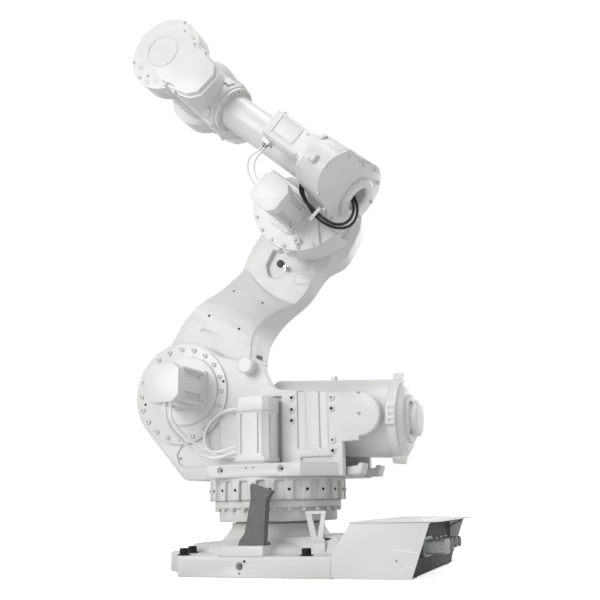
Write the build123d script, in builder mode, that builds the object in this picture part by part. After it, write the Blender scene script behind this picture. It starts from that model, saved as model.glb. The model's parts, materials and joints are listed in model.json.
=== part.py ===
from build123d import *
import os
from math import atan2, cos, degrees, pi, radians, sin, tan

os.makedirs("parts", exist_ok=True)

# Six-axis industrial robot arm with a balancing cylinder, millimetres.
# X points forward, Y to the robot's left, Z up. The origin is the centre of the mounting
# face on axis 1. The arm stands in the pose of the photograph, which is the zero of every joint.

# Joint layout
SHOULDER_X = 410
SHOULDER_Z = 780
LOWER_ARM_LENGTH = 1075
ELBOW_RISE = 165
UPPER_ARM_LENGTH = 1056
WRIST_TO_FLANGE = 250
LEAN_BACK = 32.6
ARM_RISE = 43.0
BALANCE_PIN_RADIUS = 180
TRUNNION_X = -433
TRUNNION_Z = 642
CYLINDER_Y = -60

# Clearances between bodies that move on each other
BEARING_GAP = 0.3
SWING_GAP = 9
PIN_GAP = 0.3

lean = radians(LEAN_BACK)
rise = radians(ARM_RISE)
ELBOW_X = SHOULDER_X - LOWER_ARM_LENGTH * sin(lean)
ELBOW_Z = SHOULDER_Z + LOWER_ARM_LENGTH * cos(lean)
PIN_X = SHOULDER_X - BALANCE_PIN_RADIUS * cos(lean)
PIN_Z = SHOULDER_Z - BALANCE_PIN_RADIUS * sin(lean)
CYLINDER_TILT = degrees(atan2(PIN_Z - TRUNNION_Z, PIN_X - TRUNNION_X))


def side_plane(y):
    """Upright plane at y: local x forward, local y up, extrusions run to the right of the robot."""
    return Plane(origin=(0, y, 0), x_dir=(1, 0, 0), z_dir=(0, -1, 0))


def lower_plane(y):
    """Plane along the lower arm: local x in front of it, local y along it from the shoulder axis."""
    return Plane(origin=(SHOULDER_X, y, SHOULDER_Z), x_dir=(cos(lean), 0, sin(lean)), z_dir=(0, -1, 0))


def arm_plane(y):
    """Plane along the upper arm: local x along it from the elbow axis, local y above it."""
    return Plane(origin=(ELBOW_X, y, ELBOW_Z), x_dir=(cos(rise), 0, sin(rise)), z_dir=(0, -1, 0))


def arm_section(along):
    """Plane across the upper arm: local x to the left, local y above the elbow axis."""
    spot = (ELBOW_X + along * cos(rise), 0, ELBOW_Z + along * sin(rise))
    return Plane(origin=spot, x_dir=(0, 1, 0), z_dir=(cos(rise), 0, sin(rise)))


def cylinder_section(along):
    """Plane across the balancing cylinder: distance along it from the trunnion axis."""
    tilt = radians(CYLINDER_TILT)
    spot = (TRUNNION_X + along * cos(tilt), CYLINDER_Y, TRUNNION_Z + along * sin(tilt))
    return Plane(origin=spot, x_dir=(0, 1, 0), z_dir=(cos(tilt), 0, sin(tilt)))


def arm_point(along, left, above):
    """Point of the upper arm from its distances along, left of and above the elbow axis."""
    x = ELBOW_X + along * cos(rise) - above * sin(rise)
    z = ELBOW_Z + along * sin(rise) + above * cos(rise)
    return (x, left, z)


def save(name, label):
    name.part.label = label
    export_step(name.part, "parts/" + label + ".step")


def cord(points, radius, label, limpness=0.45):
    """Round cord through points: straight runs joined by arcs as large as the runs allow."""
    bends = []
    for before, here, after in zip(points, points[1:], points[2:]):
        run_in = Vector(*here) - Vector(*before)
        run_out = Vector(*after) - Vector(*here)
        half_turn = radians(run_in.get_angle(run_out)) / 2
        bends.append(limpness * min(run_in.length, run_out.length) / tan(half_turn))
    with BuildPart() as piece:
        with BuildLine() as route:
            FilletPolyline(*points, radius=bends)
        with BuildSketch(Plane(origin=route.line @ 0, z_dir=route.line % 0)):
            Circle(radius)
        sweep()
    length = sum(edge.length for edge in route.edges())
    ratio = piece.part.volume / (pi * radius ** 2 * length)
    print(label, "length", round(length), "volume ratio", round(ratio, 4), "bends", [round(bend) for bend in bends])
    save(piece, label)


# Ring of the axis 1 gear, which the side bracket and the foot clear
RING_RADIUS = 303
BRACKET_CLEARANCE = 21
BRACKET_RIB = 24
BRACKET_THICK = 18
BRACKET_Y = RING_RADIUS + BRACKET_CLEARANCE + BRACKET_RIB + BRACKET_THICK

# Base: foot casting with a pedestal, on the floor
FOOT_HALF_WIDTH = BRACKET_Y + 29
FOOT_THICK = 81
FOOT_CORNER_X = 283
FOOT_SHOULDER = (337, FOOT_HALF_WIDTH - 95)
FOOT_CHEST = (393, FOOT_HALF_WIDTH - 195)
FOOT_NOSE = (500, 75)
FOOT_REAR_X = -372
PAD_TOP = 120
DECK_TOP = 148
PEDESTAL_TOP = 200
SPIGOT_RADIUS = 190
SWIVEL_BOTTOM = 208
STRAP_Y = 232
STRAP_FOOT_Z = 127
BOLT_HOLE_RADIUS = 13
BOLT_CENTRE_X = 15
OUTER_BOLT_SPACING = (540, 2 * FOOT_HALF_WIDTH - 110)
INNER_BOLT_SPACING = (630, 2 * FOOT_HALF_WIDTH - 420)

with BuildPart() as base_casting:
    with BuildSketch():
        with BuildLine():
            Polyline(
                (FOOT_REAR_X, 0),
                (FOOT_REAR_X, FOOT_HALF_WIDTH),
                (FOOT_CORNER_X, FOOT_HALF_WIDTH),
                FOOT_SHOULDER,
                FOOT_CHEST,
                FOOT_NOSE,
                (FOOT_NOSE[0], 0),
            )
            mirror(about=Plane.XZ)
        make_face()
    extrude(amount=FOOT_THICK)
    front_edges = base_casting.edges().filter_by(Axis.Z).filter_by_position(Axis.X, 270, 600)
    fillet(front_edges, 45)
    top_edges = base_casting.faces().sort_by(Axis.Z)[-1].edges()
    fillet(top_edges.filter_by_position(Axis.X, -300, 600), 8)
    # Rising deck from the pedestal back to the connection box
    with BuildSketch(Plane.XY.offset(FOOT_THICK - 1)):
        with Locations((-215, 0)):
            Rectangle(330, 500)
    extrude(amount=DECK_TOP - FOOT_THICK, taper=30)
    with BuildSketch(Plane.XY.offset(FOOT_THICK - 1)):
        with Locations((190, 0)):
            Rectangle(400, 300)
    extrude(amount=38, taper=45)
    # Pads for the side brackets
    for side in (1, -1):
        with BuildSketch(Plane.XY.offset(FOOT_THICK - 1)):
            with Locations((2, side * (FOOT_HALF_WIDTH - 42))):
                Rectangle(192, 84)
        extrude(amount=PAD_TOP - FOOT_THICK + 1)
    # Boss that carries the strap bracket
    with BuildSketch(Plane.XY.offset(FOOT_THICK - 1)):
        with Locations((-261, STRAP_Y - 3)):
            Rectangle(80, 34)
    extrude(amount=STRAP_FOOT_Z - FOOT_THICK + 1)
    # Turned pedestal with its bulging skirt
    with BuildSketch(Plane.XZ):
        with BuildLine():
            Line((0, 60), (322, 60))
            Line((322, 60), (322, 82))
            Spline((322, 82), (290, 114), (246, 134), (222, 162), (206, 186), (205, PEDESTAL_TOP))
            Line((205, PEDESTAL_TOP), (SPIGOT_RADIUS, PEDESTAL_TOP))
            Line((SPIGOT_RADIUS, PEDESTAL_TOP), (SPIGOT_RADIUS, SWIVEL_BOTTOM - BEARING_GAP))
            Line((SPIGOT_RADIUS, SWIVEL_BOTTOM - BEARING_GAP), (0, SWIVEL_BOTTOM - BEARING_GAP))
            Line((0, SWIVEL_BOTTOM - BEARING_GAP), (0, 60))
        make_face()
    revolve(axis=Axis.Z)
    # Flats and holes for the hold-down bolts
    for spacing in (OUTER_BOLT_SPACING, INNER_BOLT_SPACING):
        with BuildSketch(Plane.XY.offset(FOOT_THICK)):
            with Locations((BOLT_CENTRE_X, 0)):
                with GridLocations(spacing[0], spacing[1], 2, 2):
                    Circle(34)
        extrude(amount=60, mode=Mode.SUBTRACT)
        with BuildSketch():
            with Locations((BOLT_CENTRE_X, 0)):
                with GridLocations(spacing[0], spacing[1], 2, 2):
                    Circle(BOLT_HOLE_RADIUS)
        extrude(amount=FOOT_THICK, mode=Mode.SUBTRACT)
    # Lifting hole in each long side with a small fixing hole below it
    with BuildSketch(side_plane(FOOT_HALF_WIDTH)):
        with Locations((8, 43)):
            Circle(15)
        with Locations((8, 16)):
            Circle(4)
    extrude(amount=50, mode=Mode.SUBTRACT)
    with BuildSketch(side_plane(-FOOT_HALF_WIDTH)):
        with Locations((8, 43)):
            Circle(15)
    extrude(amount=-50, mode=Mode.SUBTRACT)
save(base_casting, "base_casting")

# Connection box behind the foot: bent sheet sides and floor, lid, panel, connectors
SHEET = 6
BOX_TOP = 203
BOX_REAR_TOP_X = -757
BOX_REAR_BOTTOM_X = -680
BOX_FRONT_TOP_X = -453
BOX_STEP_Z = 84
PANEL_X = -690
LID_REAR_X = -792

for side, label in ((1, "box_side_left"), (-1, "box_side_right")):
    with BuildPart() as box_side:
        with BuildSketch(side_plane(side * FOOT_HALF_WIDTH)):
            with BuildLine():
                Polyline(
                    (FOOT_REAR_X, 4),
                    (FOOT_REAR_X, BOX_STEP_Z),
                    (BOX_FRONT_TOP_X, BOX_TOP),
                    (BOX_REAR_TOP_X, BOX_TOP),
                    (BOX_REAR_BOTTOM_X, 4),
                    close=True,
                )
            make_face()
        extrude(amount=side * SHEET)
        # Folded flange under the lid
        with BuildSketch(Plane.XY.offset(BOX_TOP - SHEET)):
            with Locations(((BOX_FRONT_TOP_X + BOX_REAR_TOP_X) / 2, side * (FOOT_HALF_WIDTH - 18))):
                Rectangle(BOX_FRONT_TOP_X - BOX_REAR_TOP_X - 8, 36)
        extrude(amount=SHEET)
        top_fold = box_side.edges().filter_by(Axis.X).group_by(Axis.Z)[-1]
        outer_fold = top_fold.sort_by(Axis.Y)[-1 if side > 0 else 0]
        fillet(outer_fold, 5)
    save(box_side, label)

with BuildPart() as box_floor:
    with BuildSketch(Plane.XY.offset(4)):
        with Locations(((FOOT_REAR_X - SHEET + BOX_REAR_BOTTOM_X) / 2, 0)):
            Rectangle(FOOT_REAR_X - SHEET - BOX_REAR_BOTTOM_X, 2 * FOOT_HALF_WIDTH - 2 * SHEET)
        with Locations((BOX_REAR_BOTTOM_X, 0)):
            Ellipse(46, 300, mode=Mode.SUBTRACT)
    extrude(amount=SHEET)
    # Upright front wall against the foot and the deck
    with BuildSketch(Plane.XY.offset(4)):
        with Locations((FOOT_REAR_X - SHEET / 2, 0)):
            Rectangle(SHEET, 2 * FOOT_HALF_WIDTH - 2 * SHEET)
    extrude(amount=BOX_STEP_Z - 8)
save(box_floor, "box_floor")

with BuildPart() as box_lid:
    with BuildSketch(Plane.XY.offset(BOX_TOP)):
        with Locations(((BOX_FRONT_TOP_X + LID_REAR_X) / 2 + 4, 0)):
            RectangleRounded(BOX_FRONT_TOP_X - LID_REAR_X + 8, 2 * FOOT_HALF_WIDTH + 6, 12)
    extrude(amount=4)
    with BuildSketch(Plane.XY.offset(BOX_TOP + 4)):
        with Locations((BOX_FRONT_TOP_X - 150, 0)):
            RectangleRounded(210, 560, 20)
    extrude(amount=5, taper=45)
save(box_lid, "box_lid")

with BuildPart() as connector_panel:
    with BuildSketch(Plane(origin=(PANEL_X, 0, 0), x_dir=(0, 1, 0), z_dir=(1, 0, 0))):
        with Locations((0, (BOX_TOP - SHEET + 10) / 2)):
            Rectangle(2 * FOOT_HALF_WIDTH - 2 * SHEET, BOX_TOP - SHEET - 10)
    extrude(amount=SHEET)
save(connector_panel, "connector_panel")

HOOD_Y = 190
HOOD_Z = 108
with BuildPart() as connector_hood:
    with BuildSketch(Plane(origin=(PANEL_X, 0, 0), x_dir=(0, -1, 0), z_dir=(-1, 0, 0))):
        with Locations((-HOOD_Y, HOOD_Z)):
            RectangleRounded(150, 74, 8)
    extrude(amount=16)
    with BuildSketch(Plane(origin=(PANEL_X - 16, 0, 0), x_dir=(0, -1, 0), z_dir=(-1, 0, 0))):
        with Locations((-HOOD_Y, HOOD_Z)):
            RectangleRounded(116, 54, 10)
    extrude(amount=74)
save(connector_hood, "connector_hood")

with BuildPart() as round_connectors:
    for connector_y in (70, -30, -130, -230):
        with BuildSketch(Plane(origin=(PANEL_X, 0, 0), x_dir=(0, -1, 0), z_dir=(-1, 0, 0))):
            with Locations((-connector_y, HOOD_Z)):
                Rectangle(52, 52)
        extrude(amount=8)
        with BuildSketch(Plane(origin=(PANEL_X - 8, 0, 0), x_dir=(0, -1, 0), z_dir=(-1, 0, 0))):
            with Locations((-connector_y, HOOD_Z)):
                Circle(21)
                Circle(15, mode=Mode.SUBTRACT)
        extrude(amount=64)
        with BuildSketch(Plane(origin=(PANEL_X - 8, 0, 0), x_dir=(0, -1, 0), z_dir=(-1, 0, 0))):
            with Locations((-connector_y, HOOD_Z)):
                Circle(15)
        extrude(amount=40)
save(round_connectors, "round_connectors")

# Cast bracket that stands on the left pad
with BuildPart() as side_bracket:
    with BuildSketch(side_plane(BRACKET_Y)):
        with BuildLine():
            Polyline(
                (28, PAD_TOP),
                (20, 142),
                (-2, 168),
                (-28, 300),
                (-26, 352),
                (-34, 362),
                (-122, 330),
                (-96, 296),
                (-84, PAD_TOP + 18),
                (-88, PAD_TOP),
                close=True,
            )
        make_face()
    extrude(amount=BRACKET_THICK)
    # Stiffening rib along the rear edge
    with BuildSketch(side_plane(BRACKET_Y - BRACKET_THICK)):
        with BuildLine():
            Polyline(
                (-84, PAD_TOP),
                (-84, PAD_TOP + 18),
                (-96, 296),
                (-120, 330),
                (-104, 334),
                (-80, 296),
                (-66, PAD_TOP),
                close=True,
            )
        make_face()
    extrude(amount=BRACKET_RIB)
    with BuildSketch(Plane.XY.offset(PAD_TOP)):
        with Locations((-50, BRACKET_Y - 33)):
            Rectangle(86, 34)
    extrude(amount=12)
save(side_bracket, "side_bracket")

# Thin strap bent to a V behind it, standing on the deck
with BuildPart() as strap_bracket:
    with BuildSketch(side_plane(STRAP_Y)):
        with BuildLine():
            Polyline(
                (-262, 140),
                (-236, 248),
                (-212, 248),
                (-236, 140),
                close=True,
            )
        make_face()
        with BuildLine():
            Polyline(
                (-262, 140),
                (-284, 248),
                (-302, 248),
                (-286, 140),
                close=True,
            )
        make_face()
        with Locations((-257, 242)):
            Rectangle(90, 12)
        with Locations((-261, STRAP_FOOT_Z + 7)):
            Rectangle(64, 14)
    extrude(amount=5)
save(strap_bracket, "strap_bracket")

# Swivel: flanges and ribbed ring round the axis 1 gear, below the frame
LOWER_FLANGE_RADIUS = RING_RADIUS - 41
LOWER_FLANGE_TOP = 263
UPPER_FLANGE_RADIUS = RING_RADIUS - 22
UPPER_FLANGE_TOP = 295
RING_TOP = 388
RING_POCKETS = 24
RING_POCKET_WIDTH = 40
RING_POCKET_TOP = 375
RING_POCKET_DEPTH = 14
RING_POCKET_START = 8.3
RING_SCREW_Z = 337

with BuildPart() as swivel_flange:
    with BuildSketch(Plane.XY.offset(SWIVEL_BOTTOM)):
        Circle(LOWER_FLANGE_RADIUS)
    extrude(amount=LOWER_FLANGE_TOP - SWIVEL_BOTTOM)
    with BuildSketch(Plane.XY.offset(LOWER_FLANGE_TOP)):
        Circle(UPPER_FLANGE_RADIUS)
    extrude(amount=UPPER_FLANGE_TOP - LOWER_FLANGE_TOP)
    lower_rim = swivel_flange.edges().filter_by(GeomType.CIRCLE).group_by(Axis.Z)[0]
    chamfer(lower_rim, 4)
save(swivel_flange, "swivel_flange")

with BuildPart() as ribbed_ring:
    with BuildSketch(Plane.XY.offset(UPPER_FLANGE_TOP)):
        Circle(RING_RADIUS)
    extrude(amount=RING_TOP - UPPER_FLANGE_TOP)
    # Pockets open at the bottom with round upper corners, and a screw hole in each land
    pocket_height = RING_POCKET_TOP - UPPER_FLANGE_TOP
    for pocket in range(RING_POCKETS):
        turn = RING_POCKET_START + pocket * 360 / RING_POCKETS
        outward = (cos(radians(turn)), sin(radians(turn)), 0)
        sideways = (-sin(radians(turn)), cos(radians(turn)), 0)
        spot = (RING_RADIUS * outward[0], RING_RADIUS * outward[1], UPPER_FLANGE_TOP)
        with BuildSketch(Plane(origin=spot, x_dir=sideways, z_dir=outward)):
            RectangleRounded(RING_POCKET_WIDTH, 2 * pocket_height, 10)
        extrude(amount=-RING_POCKET_DEPTH, mode=Mode.SUBTRACT)
        turn = turn + 180 / RING_POCKETS
        outward = (cos(radians(turn)), sin(radians(turn)), 0)
        spot = (RING_RADIUS * outward[0], RING_RADIUS * outward[1], RING_SCREW_Z)
        with BuildSketch(Plane(origin=spot, z_dir=outward)):
            Circle(4)
        extrude(amount=-12, mode=Mode.SUBTRACT)
save(ribbed_ring, "ribbed_ring")

# Swivel frame: floor, two cheeks for the shoulder and two rear walls for the cylinder
CHEEK_OUTER = 160
CHEEK_INNER = 85
FAR_CHEEK_INNER = -205
FAR_CHEEK_OUTER = -280
WALL_INNER = 125
FAR_WALL_INNER = -245
CHEEK_RADIUS = 242
FLOOR_TOP = 430
SHELF_TOP = 443
FRAME_REAR_X = -361
EAR_TOP = 922
WALL_TOP = 762
TRUNNION_PLATE_RADIUS = 93
TRUNNION_RADIUS = 34
SHELF_Y = 300
MOTOR_1_CENTRE = (4, 222)
MOTOR_1_HALF = 78
MOTOR_1_TOP = 726
ARM_NEAR_FACE = 75
ARM_FAR_FACE = -195


WALL_BOSSES = ((-134, 727), (-134, 675), (-133, 628), (-316, 716), (-316, 670), (-317, 537), (-317, 492))
SHELF_HOLES = ((141, 419), (-135, 419))


def cheek_outline(with_ear):
    """Outline of a shoulder cheek in the side plane: disc, foot and, on the left, the ear."""
    with Locations((SHOULDER_X, SHOULDER_Z)):
        Circle(CHEEK_RADIUS)
    Polygon(
        (585, 612),
        (392, 396),
        (372, RING_TOP),
        (-100, RING_TOP),
        (-100, 560),
        (60, 700),
        (SHOULDER_X - 180, SHOULDER_Z + 40),
        (SHOULDER_X, SHOULDER_Z),
        align=None,
    )
    if with_ear:
        Polygon(
            (SHOULDER_X, SHOULDER_Z),
            (300, 995),
            (215, 940),
            (150, 920),
            (46, EAR_TOP),
            (12, 900),
            (-36, 792),
            (-62, 772),
            (-120, WALL_TOP),
            (-120, 500),
            (200, 500),
            align=None,
        )


with BuildPart() as swivel_frame:
    with BuildSketch(Plane.XY.offset(RING_TOP)):
        with BuildLine():
            Polyline(
                (FRAME_REAR_X, CHEEK_INNER),
                (FRAME_REAR_X, FAR_CHEEK_OUTER),
                (372, FAR_CHEEK_OUTER),
                (372, CHEEK_INNER),
                close=True,
            )
        make_face()
    extrude(amount=FLOOR_TOP - RING_TOP)
    # Shelf on the left that carries motor 1, its rear corner cut off
    with BuildSketch(Plane.XY.offset(RING_TOP)):
        with BuildLine():
            Polyline(
                (FRAME_REAR_X + 18, CHEEK_OUTER - 5),
                (-220, SHELF_Y),
                (209, SHELF_Y),
                (209, CHEEK_OUTER - 5),
                close=True,
            )
        make_face()
    extrude(amount=SHELF_TOP - RING_TOP)
    with BuildSketch(side_plane(CHEEK_OUTER)):
        cheek_outline(True)
    extrude(amount=CHEEK_OUTER - CHEEK_INNER)
    with BuildSketch(side_plane(FAR_CHEEK_INNER)):
        cheek_outline(False)
    extrude(amount=FAR_CHEEK_INNER - FAR_CHEEK_OUTER)
    # Rear walls with the half-round trunnion plates
    for wall_y, far_face in ((CHEEK_OUTER, WALL_INNER), (FAR_WALL_INNER, FAR_CHEEK_OUTER)):
        wall_thick = wall_y - far_face
        with BuildSketch(side_plane(wall_y)):
            with BuildLine():
                Polyline(
                    (-90, RING_TOP),
                    (-90, WALL_TOP + 4),
                    (FRAME_REAR_X - 10, 737),
                    (TRUNNION_X, TRUNNION_Z + TRUNNION_PLATE_RADIUS),
                    (TRUNNION_X, TRUNNION_Z - TRUNNION_PLATE_RADIUS),
                    (TRUNNION_X, 530),
                    (FRAME_REAR_X, 528),
                    (FRAME_REAR_X, RING_TOP),
                    close=True,
                )
            make_face()
            with Locations((TRUNNION_X, TRUNNION_Z)):
                Circle(TRUNNION_PLATE_RADIUS)
        extrude(amount=wall_thick)
    # Front skirt between the cheeks
    with BuildSketch(side_plane(CHEEK_INNER)):
        with BuildLine():
            Polyline(
                (392, 396),
                (372, RING_TOP),
                (300, RING_TOP),
                (300, FLOOR_TOP),
                (366, FLOOR_TOP),
                (480, 540),
                (505, 522),
                close=True,
            )
        make_face()
    extrude(amount=CHEEK_INNER - FAR_CHEEK_INNER)
    # Bearing seats that carry the foot of the lower arm
    with BuildSketch(side_plane(CHEEK_INNER)):
        with Locations((SHOULDER_X, SHOULDER_Z)):
            Circle(185)
    extrude(amount=CHEEK_INNER - ARM_NEAR_FACE - BEARING_GAP)
    with BuildSketch(side_plane(ARM_FAR_FACE - BEARING_GAP)):
        with Locations((SHOULDER_X, SHOULDER_Z)):
            Circle(150)
    extrude(amount=ARM_FAR_FACE - BEARING_GAP - FAR_CHEEK_INNER)
    # Room for the cylinder inside the cheeks and for motor 1 outside the left one
    with BuildSketch(side_plane(WALL_INNER)):
        with Locations((-60, 660)):
            Rectangle(170, 460)
    extrude(amount=WALL_INNER - FAR_WALL_INNER, mode=Mode.SUBTRACT)
    with BuildSketch(Plane.XY.offset(SHELF_TOP)):
        with Locations((MOTOR_1_CENTRE[0], MOTOR_1_CENTRE[1] + 30)):
            Rectangle(2 * MOTOR_1_HALF + 22, 2 * MOTOR_1_HALF + 72)
    extrude(amount=MOTOR_1_TOP + 12 - SHELF_TOP, mode=Mode.SUBTRACT)
    # Recessed panel of the left cheek below the gear
    with BuildSketch(side_plane(CHEEK_OUTER)):
        Polygon(
            (400, 552),
            (431, 503),
            (421, 467),
            (395, 446),
            (215, 446),
            (215, 640),
            (262, 596),
            (330, 562),
            align=None,
        )
    extrude(amount=5, mode=Mode.SUBTRACT)
    # Flutes, bar recess and screw bosses of the left rear wall
    with BuildSketch(side_plane(CHEEK_OUTER)):
        with Locations((-178, 628), (-278, 628)):
            RectangleRounded(38, 250, 8)
    extrude(amount=5, mode=Mode.SUBTRACT)
    with BuildSketch(side_plane(CHEEK_OUTER)):
        with Locations((-243, 462)):
            RectangleRounded(146, 18, 8)
    extrude(amount=10, mode=Mode.SUBTRACT)
    with BuildSketch(side_plane(CHEEK_OUTER + 4)):
        with Locations(*WALL_BOSSES):
            Circle(14)
    extrude(amount=4)
    with BuildSketch(side_plane(CHEEK_OUTER + 4)):
        with Locations(*WALL_BOSSES):
            Circle(5)
    extrude(amount=20, mode=Mode.SUBTRACT)
    # Counterbored holes in the shelf's edge
    with BuildSketch(side_plane(SHELF_Y)):
        with Locations(*SHELF_HOLES):
            Circle(14)
    extrude(amount=8, mode=Mode.SUBTRACT)
    with BuildSketch(side_plane(SHELF_Y)):
        with Locations(*SHELF_HOLES):
            Circle(7)
    extrude(amount=30, mode=Mode.SUBTRACT)
    # Trunnion bearings
    with BuildSketch(side_plane(WALL_INNER)):
        with Locations((TRUNNION_X, TRUNNION_Z)):
            Circle(TRUNNION_RADIUS + PIN_GAP)
    extrude(amount=-18, mode=Mode.SUBTRACT)
    with BuildSketch(side_plane(FAR_WALL_INNER)):
        with Locations((TRUNNION_X, TRUNNION_Z)):
            Circle(TRUNNION_RADIUS + PIN_GAP)
    extrude(amount=18, mode=Mode.SUBTRACT)
save(swivel_frame, "swivel_frame")

# Flange of the axis 2 gear on the left cheek
GEAR_2_RADIUS = 232
with BuildPart() as shoulder_gear:
    with BuildSketch(side_plane(CHEEK_OUTER + 12)):
        with Locations((SHOULDER_X, SHOULDER_Z)):
            Circle(GEAR_2_RADIUS)
    extrude(amount=12)
    with BuildSketch(side_plane(CHEEK_OUTER + 30)):
        with Locations((SHOULDER_X - 30, SHOULDER_Z + 10)):
            Circle(160)
    extrude(amount=18)
    raised_rim = shoulder_gear.edges().filter_by(GeomType.CIRCLE).group_by(Axis.Y)[-1]
    fillet(raised_rim, 8)
save(shoulder_gear, "shoulder_gear")


def upright_motor(centre, half, bottom, top, label):
    """Square servo motor standing on its flange, with a cap and two slots in each side."""
    cap = 62
    with BuildPart() as motor:
        with BuildSketch(Plane.XY.offset(bottom)):
            with Locations(centre):
                RectangleRounded(2 * half - 14, 2 * half - 14, 18)
        extrude(amount=10)
        with BuildSketch(Plane.XY.offset(bottom + 10)) as flange:
            with Locations(centre):
                Rectangle(2 * half, 2 * half)
            chamfer(flange.vertices(), 14)
        extrude(amount=20)
        with BuildSketch(Plane.XY.offset(bottom + 30)) as stator:
            with Locations(centre):
                Rectangle(2 * half - 4, 2 * half - 4)
            chamfer(stator.vertices(), 24)
        extrude(amount=top - cap - bottom - 30)
        with BuildSketch(Plane.XY.offset(top - cap)) as head:
            with Locations(centre):
                Rectangle(2 * half, 2 * half)
            chamfer(head.vertices(), 22)
        extrude(amount=cap)
        for turn in range(4):
            with BuildSketch(Plane.XY.offset(bottom + 42)):
                with Locations(centre):
                    with Locations(Rotation(0, 0, 90 * turn)):
                        with Locations((half, MOTOR_SLOT * half), (half, -MOTOR_SLOT * half)):
                            Rectangle(18, 12)
            extrude(amount=top - cap - bottom - 54, mode=Mode.SUBTRACT)
    save(motor, label)


MOTOR_SLOT = 0.5
upright_motor(MOTOR_1_CENTRE, MOTOR_1_HALF, SHELF_TOP, MOTOR_1_TOP, "motor_1")


def lying_motor(plane_at, centre, half, inner_y, outer_y, label):
    """Square servo motor on its flange, axis along Y, with an eight-sided end cover."""
    cover = 52
    with BuildPart() as motor:
        with BuildSketch(plane_at(inner_y + 22)):
            with Locations(centre):
                RectangleRounded(2 * half + 10, 2 * half + 10, 24)
        extrude(amount=22)
        with BuildSketch(plane_at(outer_y - cover)) as stator:
            with Locations(centre):
                Rectangle(2 * half - 10, 2 * half - 10)
            chamfer(stator.vertices(), 26)
        extrude(amount=outer_y - cover - inner_y - 22)
        with BuildSketch(plane_at(outer_y)) as cap:
            with Locations(centre):
                Rectangle(2 * half, 2 * half)
            chamfer(cap.vertices(), 30)
        extrude(amount=cover)
        # Four through bolts in the corners between flange and cover
        with BuildSketch(plane_at(outer_y - cover)):
            with Locations(centre):
                with GridLocations(2 * half - 28, 2 * half - 28, 2, 2):
                    Circle(9)
        extrude(amount=outer_y - cover - inner_y - 22)
        # Two cooling slots along each side of the stator
        for turn in range(4):
            with BuildSketch(plane_at(outer_y - cover - 12)):
                with Locations(centre):
                    with Locations(Rotation(0, 0, 90 * turn)):
                        with Locations((half - 5, MOTOR_SLOT * half), (half - 5, -MOTOR_SLOT * half)):
                            Rectangle(18, 18)
            extrude(amount=outer_y - cover - inner_y - 58, mode=Mode.SUBTRACT)
    save(motor, label)


MOTOR_2_CENTRE = (354, 790)
MOTOR_2_HALF = 84
lying_motor(side_plane, MOTOR_2_CENTRE, MOTOR_2_HALF, CHEEK_OUTER + 30, 446, "motor_2")

PEG_RADIUS = 37
with BuildPart() as bumper_peg:
    with BuildSketch(side_plane(CHEEK_OUTER + 57)):
        with Locations((68, 880)):
            Circle(PEG_RADIUS)
    extrude(amount=57)
    fillet(bumper_peg.edges().filter_by(GeomType.CIRCLE).group_by(Axis.Y)[-1], 8)
save(bumper_peg, "bumper_peg")

# Cable support under the rear of the swivel frame
SUPPORT_OUTLINE = (
    (FRAME_REAR_X, 392),
    (-424, 392),
    (-438, 440),
    (-418, 442),
    (-410, 430),
    (FRAME_REAR_X, 424),
)
with BuildPart() as rear_support:
    with BuildSketch(side_plane(120)):
        Polygon(*SUPPORT_OUTLINE, align=None)
    extrude(amount=80)
    with BuildSketch(side_plane(-160)):
        Polygon(*SUPPORT_OUTLINE, align=None)
    extrude(amount=80)
save(rear_support, "rear_support")

# Balancing cylinder: shell on trunnions, rear flange with lugs, end cap
CYLINDER_RADIUS = 172
CYLINDER_BORE = 152
CYLINDER_FRONT = 440
CYLINDER_REAR = -108
MOUTH_HALF_HEIGHT = 92
MOUTH_HALF_WIDTH = 37
HEAD_THICK = 24

with BuildPart() as cylinder_shell:
    with BuildSketch(cylinder_section(CYLINDER_REAR)):
        Circle(CYLINDER_RADIUS)
    extrude(amount=CYLINDER_FRONT - CYLINDER_REAR)
    with BuildSketch(cylinder_section(CYLINDER_REAR + HEAD_THICK)):
        Circle(CYLINDER_BORE)
    extrude(amount=CYLINDER_FRONT - CYLINDER_REAR - 2 * HEAD_THICK, mode=Mode.SUBTRACT)
    with BuildSketch(cylinder_section(CYLINDER_FRONT - HEAD_THICK)):
        SlotOverall(2 * MOUTH_HALF_HEIGHT, 2 * MOUTH_HALF_WIDTH, rotation=90)
    extrude(amount=HEAD_THICK, mode=Mode.SUBTRACT)
    # Trunnion blocks and stubs
    for side in (1, -1):
        wall = WALL_INNER if side > 0 else FAR_WALL_INNER
        start = CYLINDER_Y + side * (CYLINDER_BORE + 4)
        with BuildSketch(side_plane(start)):
            with Locations((TRUNNION_X, TRUNNION_Z)):
                Circle(58)
        extrude(amount=-side * (abs(wall - start) - 5))
        with BuildSketch(side_plane(start)):
            with Locations((TRUNNION_X, TRUNNION_Z)):
                Circle(TRUNNION_RADIUS)
        extrude(amount=-side * (abs(wall - start) + 14))
    # Breather plug on top
    with BuildSketch(Plane(origin=(-262, CYLINDER_Y, TRUNNION_Z + 150))):
        RegularPolygon(15, 6)
    extrude(amount=50)
save(cylinder_shell, "cylinder_shell")

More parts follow.
